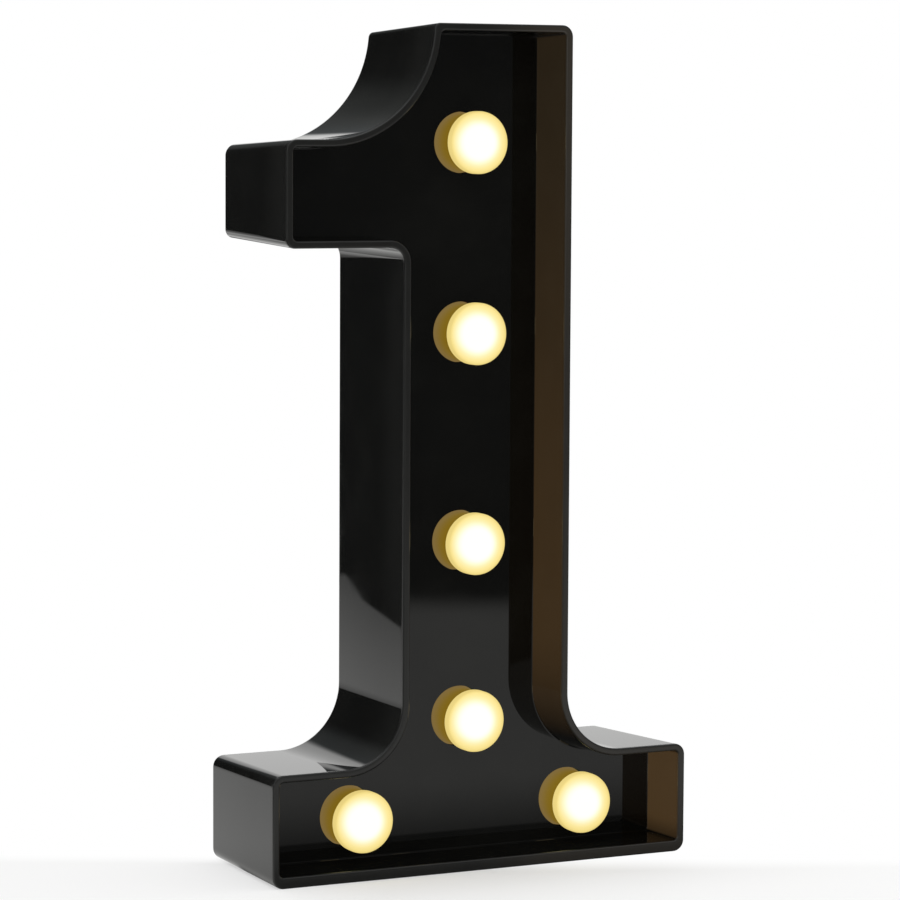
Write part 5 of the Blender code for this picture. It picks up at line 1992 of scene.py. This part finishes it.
@dataclass
class BatteryDoor:
    """The door over the bay: plate, hook tabs, sprung tongue and ribbed finger scoop."""

    bay: BatteryBay
    thick: float = 0.0017
    edge_round: float = 0.00022
    tongue_width: float = 0.0120
    tongue_length: float = 0.0110
    tongue_slot: float = 0.0010
    slot_corner: float = 0.00045
    slot_overrun: float = 0.002
    scoop_width: float = 0.0080
    scoop_length: float = 0.0060
    scoop_depth: float = 0.0007
    scoop_corner: float = 0.0003
    grip_ribs: int = 3
    grip_width: float = 0.0006
    nib_width: float = 0.0080
    nib_proud: float = 0.0002
    nib_thick: float = 0.0006
    arrow_half: Point = (0.0026, 0.0014)
    arrow_gap: float = 0.0036
    arrow_ys: Span = (-0.0001, 0.00012)

    def hooks(self, front: float) -> list[Mesh]:
        """Make the two hook tabs.

        Args:
            front: The depth of the door's inner face.

        Returns:
            Their meshes.
        """
        bay, gap = self.bay, LAYERS.gap
        tip = bay.opening[0] + gap / 2 - bay.tab_reach
        root = bay.opening[0] + 2 * gap
        top = bay.low + bay.ledge
        upper = bay.tab_floor + bay.tab_thick
        section = [(bay.tab_floor, tip), (bay.tab_floor, top), (front + SINK, top),
                   (front + SINK, root), (upper, root), (upper, tip)]
        return [skin("hook", [[(level, y, z) for y, z in section]
                              for level in around(x, bay.tab_width / 2)])
                for x in bay.tab_xs]

    def slots(self, high: float) -> list[Mesh]:
        """Make the tools that free the tongue.

        Args:
            high: The height of the door's upper edge.

        Returns:
            One for each side of the tongue.
        """
        made = []
        for side in (-1, 1):
            near = FACE.stem_x + side * self.tongue_width / 2
            xs = sorted((near, near + side * self.tongue_slot))
            outline = rounded_rectangle(
                (xs[0], xs[1]), (high - self.tongue_length, high + self.slot_overrun),
                self.slot_corner, 4)
            made.append(slab("slot", outline, LAYERS.back - self.thick - OVERRUN,
                             LAYERS.back + OVERRUN))
        return made

    def scoops(self, high: float) -> list[Mesh]:
        """Make the tools that leave the grip ribs in the finger scoop.

        Args:
            high: The height of the door's upper edge.

        Returns:
            One for each hollow.
        """
        top = high - (self.tongue_length - self.scoop_length) / 2
        room = (self.scoop_length - self.grip_ribs * self.grip_width) / (self.grip_ribs + 1)
        made = []
        for index in range(self.grip_ribs + 1):
            start = top - self.scoop_length + index * (room + self.grip_width)
            outline = rounded_rectangle(around(FACE.stem_x, self.scoop_width / 2),
                                        (start, start + room), self.scoop_corner, 4)
            made.append(slab("scoop", outline, LAYERS.back - self.scoop_depth,
                             LAYERS.back + OVERRUN))
        return made

    def plate(self) -> Mesh:
        """Make the door.

        Returns:
            The mesh.
        """
        gap, back, front = LAYERS.gap, LAYERS.back, LAYERS.back - self.thick
        low, high = self.bay.opening[0] + gap, self.bay.opening[1] - gap
        outline = rounded_rectangle(around(FACE.stem_x, self.bay.opening_half - gap),
                                    (low, high), self.bay.corner)
        nib = box("nib", around(FACE.stem_x, self.nib_width / 2),
                  around((front + back) / 2, self.nib_thick / 2),
                  (high - SINK, high + self.nib_proud))
        shape = Shaping(slab("door", outline, front, back, self.edge_round))
        shape.join(*self.hooks(front), nib)
        return shape.cut(*self.slots(high)).cut(*self.scoops(high)).done()

    def arrow(self) -> Mesh:
        """Make the raised arrow that shows which way the tongue is pressed.

        Returns:
            The mesh.
        """
        x, z = FACE.stem_x, self.bay.opening[1] - self.tongue_length - self.arrow_gap
        wide, high = self.arrow_half
        outline = [(x - wide, z + high), (x, z - high), (x + wide, z + high)]
        return slab("arrow", outline, *(LAYERS.back + y for y in self.arrow_ys))

    def build(self) -> None:
        """Make the door and its mark."""
        piece("bay_door", self.plate(), [BLACK_SATIN], DOOR, ["battery_door"])
        piece("door_arrow", self.arrow(), [BLACK_SATIN], DOOR)


@dataclass
class Cells:
    """The two cells, and the plates and springs that meet them."""

    radius: float = 0.00725
    length: float = 0.0505
    nub_radius: float = 0.00275
    nub_height: float = 0.0010
    nub_soft: float = 0.0002
    nub_foot: Point = (0.0006, 0.0001)
    crown: tuple[Point, ...] = ((0.0011, 0), (0.0007, 0.00015), (0.0004, 0),
                                (0.0001, 0.00015), (0, 0.0004))
    base: tuple[Point, ...] = ((0, 0.0004), (0.0002, 0.0001), (0.0004, 0),
                               (0.0009, 0.0001))
    dimple: tuple[Point, ...] = ((0.6, 0.0002), (0.55, 0.0001), (0, 0.0001))
    bead_half: float = 0.0004
    bead: float = 0.0016
    bead_depth: float = 0.00012
    wire_radius: float = 0.00035
    foot_radius: float = 0.0032
    tip_radius: float = 0.0022
    turns: float = 3.0
    turn_points: int = 28
    spring_length: float = 0.0045

    def profile(self) -> Outline:
        """Set out a cell.

        Returns:
            Its half section from its nub down.
        """
        radius, nub, half = self.radius, self.nub_radius, self.bead_half
        sunk = radius - self.bead_depth
        shoulder = self.length - self.nub_height
        upper, lower = shoulder - self.bead, self.bead
        wide, rise = self.nub_foot
        return [
            (0, self.length), (nub - self.nub_soft, self.length),
            (nub, self.length - self.nub_soft), (nub, shoulder + rise),
            (nub + wide, shoulder),
            *((radius - inward, shoulder - drop) for inward, drop in self.crown),
            (radius, upper), (sunk, upper - half / 2), (radius, upper - half),
            (radius, lower + half), (sunk, lower), (radius, lower - half),
            *((radius - inward, height) for inward, height in self.base),
            *((radius * share, height) for share, height in self.dimple),
        ]

    @staticmethod
    def ends(node: str, facing: Facing) -> Span:
        """Return the heights of a node's foot and tip, as it faces."""
        low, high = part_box(node)
        return (low.z, high.z) if facing is Facing.UP else (high.z, low.z)

    def springs(self) -> None:
        """Wind the two contact springs."""
        recipe = Recipe("contact_springs")
        recipe.serve_wire(recipe.node("GeometryNodeCurveSpiral", {}, {
            "Resolution": recipe.ask("Points a turn", "count"),
            "Rotations": recipe.ask("Turns"),
            "Start Radius": recipe.ask("Foot radius"),
            "End Radius": recipe.ask("Tip radius"),
            "Height": recipe.ask("Rise"),
        }), 12)
        rise = self.spring_length - LAYERS.gap - 2 * self.wire_radius
        for number, facing in STANDING.items():
            node = f"contact_spring_{number}"
            base, _ = self.ends(node, facing)
            lift = Matrix.Translation((0, 0, self.wire_radius))
            mesh = recipe.run(points_mesh("seat", [Vector()]), {
                "Points a turn": self.turn_points, "Turns": self.turns,
                "Foot radius": self.foot_radius, "Tip radius": self.tip_radius,
                "Rise": rise, "Wire radius": self.wire_radius, "Finish": NICKEL.material()})
            cell = middle(f"cell_{number}")
            mesh.transform(Matrix.Translation((cell.x, cell.y, base)) @ facing.turn() @ lift)
            piece(f"coil_{number}", shaded(mesh), [NICKEL], HOUSING, [node])

    def build(self) -> None:
        """Make the cells and springs, and dress the plates."""
        for number, facing in STANDING.items():
            node = f"cell_{number}"
            base, tip = self.ends(node, facing)
            wrap = CellWrap(f"cell_wrap_{number}", low=base, high=tip)
            mesh = lathe(node, self.profile(), 72)
            place = middle(node)
            mesh.transform(Matrix.Translation((place.x, place.y, base)) @ facing.turn())
            piece(f"dry_cell_{number}", mesh, [wrap], HOUSING, [node])
        self.springs()
        dress(NICKEL, "contact_positive", "contact_negative", "contact_bridge")


@dataclass
class SlideSwitch:
    """The switch's knob in its well, and the body and screws behind the cover."""

    width: float = 0.0030
    groove: float = 0.0004
    grooves: int = 3
    bevel: float = 0.00012

    def knob(self) -> Mesh:
        """Make the knob.

        Returns:
            The mesh, with its grip grooves.
        """
        low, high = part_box("switch_knob")
        shape = Shaping(box("knob", *zip(low, high), self.bevel))
        pitch = self.width / (self.grooves + 1)
        tools = [box("groove", around(low.x + pitch * n, self.groove / 2),
                     (high.y - self.groove, high.y + OVERRUN),
                     (low.z - OVERRUN, high.z + OVERRUN))
                 for n in range(1, self.grooves + 1)]
        return shape.cut(*tools).done()

    def build(self) -> None:
        """Make the knob and dress the rest."""
        piece("slide_knob", self.knob(), [SWITCH_PLASTIC], KNOB, ["switch_knob"])
        dress(SWITCH_PLASTIC, "switch_body")
        dress(ZINC, *numbered("switch_screw", 2))


@dataclass
class Wiring:
    """The leads along the lane behind the panel, and the series resistor."""

    lamps: Sequence[Vector]
    radius: float = 0.0006
    lane_y: float = 0.0010
    ease: float = 0.0022
    link_x: float = 0.0045
    feed_x: float = 0.0075
    pad_rise: float = 0.0030
    pin_x: float = 0.0025
    tag_drop: float = 0.0036
    steps: int = 10

    def pad(self, lamp: int, offset: float, side: int) -> Vector:
        """Return a solder pad on the back of a lamp's board.

        Args:
            lamp: The lamp's number, from 0.
            offset: How far across from the lamp's middle it lies.
            side: 1 for the upper row of pads and -1 for the lower one.

        Returns:
            Its place.
        """
        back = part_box("led_board_1")[1].y
        return Vector((self.lamps[lamp].x + offset, back + LAYERS.gap,
                       self.lamps[lamp].z + side * self.pad_rise))

    def smooth(self, route: Sequence[Vector]) -> list[Vector]:
        """Run smoothly through a route's own points.

        Args:
            route: The points.

        Returns:
            More points, close together.
        """
        padded = [2 * route[0] - route[1], *route, 2 * route[-1] - route[-2]]
        points = []
        for a, b, c, d in zip(padded, padded[1:], padded[2:], padded[3:]):
            for step in range(self.steps):
                t = step / self.steps
                points.append((2 * b + (c - a) * t + (2 * a - 5 * b + 4 * c - d) * t * t
                               + (3 * b - a - 3 * c + d) * t * t * t) / 2)
        return points + [route[-1]]

    def link(self, start: Vector, end: Vector) -> list[Vector]:
        """Lead a wire from one board's pad to another's.

        Args:
            start: The first pad.
            end: The second pad.

        Returns:
            Its run through the lane.
        """
        along = Vector((end.x - start.x, 0, end.z - start.z)).normalized()
        lift = Vector((0, self.lane_y - start.y, 0))
        bend = along * self.ease
        near = [start, start + lift / 2 + bend / 8, start + lift + bend]
        far = [end + lift - bend, end + lift / 2 - bend / 8, end]
        return self.smooth(near)[:-1] + self.smooth(far)

    def runs(self) -> dict[Lead, dict[str, list[Vector]]]:
        """Lead every wire.

        Returns:
            Every run, by colour and CAD node.
        """
        made: dict[Lead, dict[str, list[Vector]]] = {Lead.RED: {}, Lead.BLACK: {}}
        spread = self.feed_x - self.link_x
        for lead, side in ((Lead.RED, 1), (Lead.BLACK, -1)):
            for lamp in range(3):
                made[lead][f"link_{lead.name.lower()}_{lamp + 1}_{lamp + 2}"] = self.link(
                    self.pad(lamp, side * self.link_x, -1),
                    self.pad(lamp + 1, side * self.link_x, 1))
        for lead, start, end in ((Lead.RED, self.feed_x, spread / 2),
                                 (Lead.BLACK, self.link_x, spread * 3 / 2)):
            for lamp, side in ((4, -1), (5, 1)):
                made[lead][f"link_{lead.name.lower()}_4_{lamp + 1}"] = self.link(
                    self.pad(3, side * start, -1),
                    self.pad(lamp, -side * end, 1))
        made[Lead.RED].update(self.red_feeds())
        made[Lead.BLACK]["feed_black_bay"] = self.black_feed()
        return made

    def tag(self, node: str) -> Vector:
        """Return where a lead meets a contact's solder tag."""
        return Vector((middle(node).x, middle("cell_1").y - self.tag_drop,
                       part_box(node)[1].z + LAYERS.gap))

    def red_feeds(self) -> dict[str, list[Vector]]:
        """Lead the wires from the bay to the switch and from the resistor to a board.

        Returns:
            The two runs by CAD node.
        """
        ease = self.ease
        start = self.tag("contact_positive")
        pin_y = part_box("switch_body")[0].y
        end = Vector((FACE.stem_x - self.pin_x, pin_y - LAYERS.gap, middle("switch_knob").z))
        to_switch = [start, start + Vector((0, 0, ease)),
                     Vector(((start.x + end.x) / 2, start.y - ease, (start.z + end.z) / 2)),
                     Vector((end.x, end.y - ease, end.z - ease / 2)), end]
        center = middle("resistor")
        start = Vector((center.x, center.y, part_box("resistor")[1].z + LAYERS.gap))
        end = self.pad(0, self.feed_x, -1)
        to_board = [start, start + Vector((0, 0, ease)), (start + end) / 2,
                    Vector((end.x, end.y + ease, end.z - ease / 3)), end]
        return {"feed_red_bay": self.smooth(to_switch),
                "feed_red_boards": self.smooth(to_board)}

    def black_feed(self) -> list[Vector]:
        """Lead the wire from the bay to the second board.

        Returns:
            Its run.
        """
        ease = self.ease
        start, end = self.tag("contact_negative"), self.pad(1, self.feed_x, 1)
        crest = max(start.z, end.z) + ease
        return self.smooth([start, start + Vector((0, -ease / 4, ease)),
                            Vector(((start.x + end.x) / 2, (start.y + end.y) / 2,
                                    crest + ease / 2)),
                            Vector((end.x, end.y + ease, end.z + ease / 3)), end])

    def build(self) -> None:
        """Make the leads of each colour and dress the resistor."""
        recipe = Recipe("leads")
        recipe.serve_wire(recipe.node("GeometryNodeMeshToCurve", {}, {"Mesh": recipe.host()}),
                          14)
        for lead, runs in self.runs().items():
            points: list[Vector] = []
            edges: list[tuple[int, int]] = []
            for run in runs.values():
                edges += [(len(points) + n, len(points) + n + 1) for n in range(len(run) - 1)]
                points += run
            finish = Insulation(f"{lead.name.lower()}_insulation", lead)
            mesh = recipe.run(points_mesh("route", points, edges),
                              {"Wire radius": self.radius, "Finish": finish.material()})
            piece(f"{lead.name.lower()}_leads", shaded(mesh), [finish], HOUSING, list(runs))
        low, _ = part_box("resistor")
        dress(ResistorLacquer("resistor_lacquer", low.z), "resistor")


# Studio


@dataclass(frozen=True)
class SoftLamp:
    """A round lamp that lights the numeral but isn't mirrored in it."""

    name: str
    place: Place
    size: float
    power: float

    def hang(self) -> None:
        """Hang the lamp, so that it looks at the numeral's middle."""
        light = bpy.data.lights.new(self.name, "AREA")
        light.shape = "DISK"
        light.size = self.size
        light.energy = self.power
        thing = link(bpy.data.objects.new(self.name, light))
        aim = Vector((0, 0, FACE.height / 2)) - Vector(self.place)
        thing.matrix_world = (Matrix.Translation(self.place)
                              @ aim.to_track_quat("-Z", "Y").to_matrix().to_4x4())
        thing.visible_glossy = False


@dataclass(frozen=True)
class MirroredPatch:
    """A bright patch of the room that only the gloss sees."""

    way: Place
    edge: Span
    level: float


@dataclass
class Studio:
    """The pale floor, what the gloss mirrors, the lamps and the camera."""

    camera_place: Place = (-0.42312, -0.84679, 0.19323)
    yaw: float = math.radians(26.554)
    pitch: float = math.radians(5.112)
    roll: float = math.radians(0.308)
    focal_pixels: float = 3595.59
    picture: float = 900.0
    sensor: float = 36.0
    lamps: tuple[SoftLamp, ...] = (
        SoftLamp("key", (-0.9, -1.0, 1.5), 1.0, 8.0),
        SoftLamp("fill", (1.3, -0.3, 1.1), 1.2, 4.0),
    )
    ambient: float = 0.80

    floor_half: float = 8.0
    floor_color: Color = (0.93, 0.93, 0.925, 1)
    floor_smudge: Color = (0.8, 0.8, 0.79, 1)
    # The white's share near the numeral and far from it: less near it is painted shade round
    # its foot
    floor_white: Span = (0.16, 0.58)
    shadow_reach: float = 0.06
    white_from: Span = (-0.028, -0.001)
    far_white: Span = (0.30, 1.00)
    painted_left_share: float = 0.58
    left_xs: Span = (-0.01, -0.07)

    sheet_xs: Span = (-0.9, 0.9)
    sheet_ys: Span = (-0.9, 2.8)
    sheet_front: Span = (0.560, 0.480)
    sheet_back: Span = (0.595, 0.570)
    shade_fade: Span = (0.002, -0.122)
    shade_edge: Span = (-0.0395, -0.0435)
    shade_depths: Span = (0.0, 0.01)
    shade_xs: Span = (-0.057, -0.061)
    side_bend: Point = (-0.206, 0.498)
    side_far: float = 0.238
    side_near: float = 0.110
    side_soft: float = 0.002
    strip_slope: float = 0.352
    strip_x: float = -0.0155
    strip_soft: float = 0.003
    strip_end: Span = (-0.06, -0.12)
    strip_ys: Span = (0.575, 0.605)
    strip_steep: Point = (2.17, 1.63)
    strip_slow: Point = (0.68, 0.24)
    level_start: float = 1.10
    level_slopes: Point = (4.5, 0.35)
    level_bounds: Span = (0.25, 1.15)
    behind_ys: Span = (-0.03, 0.05)
    behind: Color = (1, 1, 0.985, 1)
    before: Color = (0.61, 0.61, 0.595, 1)

    card_distance: float = 0.93
    card_left: float = -0.80
    card_right: float = 0.90
    card_high: float = 0.90
    card_soft: Point = (0.3, 0.2)
    card_white: Color = (0.95, 0.95, 0.94, 1)
    white_heights: Span = (0.425, 0.370)
    white_across: Span = (-0.52, -0.40)
    card_sky: Stops = (
        (0.42, (0.110, 0.119, 0.122, 1)),
        (0.55, (0.112, 0.117, 0.115, 1)),
        (0.70, (0.055, 0.058, 0.057, 1)),
    )

    room: Color = (0.97, 1.0, 1.03, 1)
    room_level: float = 0.05
    room_swing: float = 0.022
    room_way: Place = (-0.447, 0.894, 0)
    ceiling_ups: Span = (0.55, 0.85)
    ceiling_level: float = 0.75
    patches: tuple[MirroredPatch, ...] = (
        MirroredPatch((-0.85, -0.42, 0.30), (0.90, 0.97), 1.0),
        MirroredPatch((0.95, -0.12, 0.30), (0.90, 0.97), 0.6),
        MirroredPatch((0.5, 0.7, 0.55), (0.92, 0.98), 0.5),
    )

    @property
    def ahead(self) -> Vector:
        """Return the camera's heading over the floor."""
        return Vector((math.sin(self.yaw), math.cos(self.yaw), 0))

    @property
    def aside(self) -> Vector:
        """Return the direction to the camera's right."""
        return Vector((math.cos(self.yaw), -math.sin(self.yaw), 0))

    def camera(self) -> None:
        """Set the camera where the photograph was taken from."""
        lens = bpy.data.cameras.new("camera")
        lens.sensor_width = self.sensor
        lens.lens = self.focal_pixels / self.picture * self.sensor
        lens.clip_start, lens.clip_end = 0.01, 50
        level = self.ahead * math.cos(self.pitch) - Vector((0, 0, math.sin(self.pitch)))
        right = self.aside
        up = right.cross(level)
        turned_right = right * math.cos(self.roll) + up * math.sin(self.roll)
        turned_up = up * math.cos(self.roll) - right * math.sin(self.roll)
        eye = link(bpy.data.objects.new("camera", lens))
        axes = Matrix((turned_right, turned_up, -level)).transposed().to_4x4()
        eye.matrix_world = Matrix.Translation(self.camera_place) @ axes
        bpy.context.scene.camera = eye

    @staticmethod
    def _blank(name: str) -> tuple[bpy.types.Material, Graph]:
        """Start a stage material.

        Args:
            name: Its name.

        Returns:
            The material and its empty tree.
        """
        made = bpy.data.materials.new(name)
        made.use_nodes = True
        return made, Graph(made.node_tree)

    @staticmethod
    def _blend(graph: Graph, share: Tap, first: Tap, second: Tap) -> None:
        """End a material's tree in a blend.

        Args:
            graph: The tree.
            share: How much of the second shader shows.
            first: The first shader.
            second: The second shader.
        """
        look = graph.node("ShaderNodeMixShader", {}, {0: share, 1: first, 2: second})
        graph.node("ShaderNodeOutputMaterial", {}, {"Surface": look})

    @staticmethod
    def _stage(name: str, corners: Iterable[Sequence[float]], material: bpy.types.Material,
               seen_by: set[str]) -> None:
        """Add a flat stage object that only some rays see.

        Args:
            name: Its name.
            corners: Its four corners.
            material: Its material.
            seen_by: The kinds of rays.
        """
        mesh = bpy.data.meshes.new(name)
        mesh.from_pydata([tuple(corner) for corner in corners], [], [(0, 1, 2, 3)])
        mesh.materials.append(material)
        thing = link(bpy.data.objects.new(name, mesh))
        for ray in ("camera", "diffuse", "glossy", "transmission", "shadow"):
            setattr(thing, f"visible_{ray}", ray in seen_by)

    @staticmethod
    def _level(xs: Span, ys: Span) -> list[Place]:
        """Return the corners of a rectangle on the ground."""
        return [(xs[0], ys[0], 0), (xs[1], ys[0], 0), (xs[1], ys[1], 0), (xs[0], ys[1], 0)]

    def floor(self) -> None:
        """Lay the pale floor: plain white behind the numeral, painted shade round its foot,
        painted light to its left.
        """
        made, graph = self._blank("pale_floor")
        x, y, _ = graph.axes(graph.place())
        along = x * self.ahead.x + y * self.ahead.y
        cloud = graph.noise(graph.place(), 0.4, 2)
        matt = graph.principled({
            "Base Color": graph.mix(cloud * 0.04, self.floor_color, self.floor_smudge),
            "Roughness": cloud * 0.1 + 0.55, "Specular IOR Level": 0.1})
        seen = graph.node("ShaderNodeLightPath", output="Is Camera Ray")
        away = (x * x + y * y) ** 0.5
        beside = (abs(x) - FACE.foot_width / 2).most(0.0)
        before = (abs(y) - LAYERS.depth / 2).most(0.0)
        clear = (beside * beside + before * before) ** 0.5
        least, most = self.floor_white
        # Painted shade: less white near the numeral darkens the floor there and lets the real
        # shadow show
        even = clear.rise(0.0, self.shadow_reach) * (most - least) + least
        fade = along.rise(*self.white_from).most(away.rise(*self.far_white))
        # Painted light: more white to the numeral's left keeps the shadow off that side
        painted_left_light = x.rise(*self.left_xs) * self.painted_left_share
        share = fade.most(even).most(painted_left_light)
        self._blend(graph, share * seen, matt, graph.glowing(WHITE))
        reach = around(0, self.floor_half)
        self._stage("floor", self._level(reach, reach), made,
                    {"camera", "diffuse", "shadow", "transmission"})

    def sheet(self) -> None:
        """Lay the sheet that only the gloss mirrors, its edges where the photo has them."""
        made, graph = self._blank("mirrored_sheet")
        x, y, _ = graph.axes(graph.place())
        toward = x * self.ahead.x - y * self.ahead.y
        front = toward.rise(*self.sheet_front)
        # Painted shadow of the numeral on the sheet, dark just in front of it and fading
        # further out
        shade = y.rise(*self.shade_fade) * y.rise(*self.shade_edge)
        close = shade.most(y.rise(*self.shade_depths)).most(x.rise(*self.shade_xs))
        bend_x, bend_y = self.side_bend
        past = y - bend_y
        line = x - bend_x + past.most(0.0) * self.side_far + past.least(0.0) * self.side_near
        side = line.rise(-self.side_soft, self.side_soft)
        back = y.rise(*self.sheet_back)
        strip = x + y * self.strip_slope - self.strip_x
        far = (strip.rise(-self.strip_soft, self.strip_soft) * x.rise(*self.strip_end)
               * y.rise(*self.strip_ys))
        across, deep = self.level_slopes
        lowest, highest = self.level_bounds
        level = (x * across + y * deep + self.level_start).most(lowest).least(highest)
        steep, steep_fall = self.strip_steep
        slow, slow_fall = self.strip_slow
        distant = (steep - y * steep_fall).most(slow - y * slow_fall).most(0.0)
        behind = graph.mix(far * (distant - level) + level, DARK, self.behind)
        behind.socket.node.clamp_factor = False
        glow = graph.glowing(graph.mix(y.rise(*self.behind_ys), self.before, behind))
        self._blend(graph, (front * close * side * back).most(far),
                    graph.node("ShaderNodeBsdfTransparent"), glow)
        self._stage("sheet", self._level(self.sheet_xs, self.sheet_ys), made, {"glossy"})

    def backdrop(self) -> None:
        """Stand a backdrop that only the gloss mirrors: white below, fading to blue-grey."""
        made, graph = self._blank("mirrored_backdrop")
        x, y, high = graph.axes(graph.place())
        across = x * self.aside.x + y * self.aside.y
        white = high.rise(*self.white_heights) * across.rise(*self.white_across)
        glow = graph.glowing(graph.mix(white, graph.ramp(high, self.card_sky),
                                       self.card_white))
        side = across.rise(self.card_left, self.card_left + self.card_soft[0])
        top = high.rise(self.card_high, self.card_high - self.card_soft[1])
        self._blend(graph, side * top, graph.node("ShaderNodeBsdfTransparent"), glow)
        corners = [self.ahead * self.card_distance + self.aside * at + Vector((0, 0, rise))
                   for at, rise in ((self.card_left, 0), (self.card_right, 0),
                                    (self.card_right, self.card_high),
                                    (self.card_left, self.card_high))]
        self._stage("backdrop", corners, made, {"glossy"})

    def world(self) -> None:
        """Fill the room: white to the camera, even light for colour, dim for the gloss."""
        world = bpy.data.worlds.new("room")
        bpy.context.scene.world = world
        world.use_nodes = True
        graph = Graph(world.node_tree)
        way = graph.node("ShaderNodeTexCoord", output="Generated")
        _, _, up = graph.axes(way)

        def toward(goal: Place) -> Tap:
            """Return how nearly a ray goes one way."""
            return graph.node("ShaderNodeVectorMath", {"operation": "DOT_PRODUCT"},
                              {0: way, 1: tuple(Vector(goal).normalized())}, "Value")

        total = self.room_level - self.room_swing * toward(self.room_way)
        total = total + up.rise(*self.ceiling_ups) * self.ceiling_level
        for patch in self.patches:
            total = total + toward(patch.way).rise(*patch.edge) * patch.level
        dim = graph.mix(total, DARK, self.room)
        path = graph.node("ShaderNodeLightPath", output="Is Camera Ray")
        clear = path.most(path.other("Is Transmission Ray"))
        even = (self.ambient, self.ambient, self.ambient, 1)
        color = graph.mix(path.other("Is Glossy Ray"), even, dim)
        color = graph.mix(clear, color, WHITE)
        room = graph.node("ShaderNodeBackground", {}, {"Color": color})
        graph.node("ShaderNodeOutputWorld", {}, {"Surface": room})

    def build(self) -> None:
        """Set the whole stage."""
        self.camera()
        self.floor()
        self.sheet()
        self.backdrop()
        self.world()
        for lamp in self.lamps:
            lamp.hang()
        bpy.context.scene.view_settings.view_transform = "Standard"


def main() -> None:
    """Build every sub-assembly and the studio."""
    logging.basicConfig(level=logging.INFO, format="%(name)s: %(message)s")
    bay = BatteryBay()
    lamps = LampSet()
    lamps.build()
    Housing(lamps.places()).build()
    BackCover(bay, CoverScrew()).build()
    BatteryDoor(bay).build()
    Cells().build()
    SlideSwitch().build()
    Wiring(lamps.places()).build()
    Studio().build()


if __name__ == "__main__":
    main()
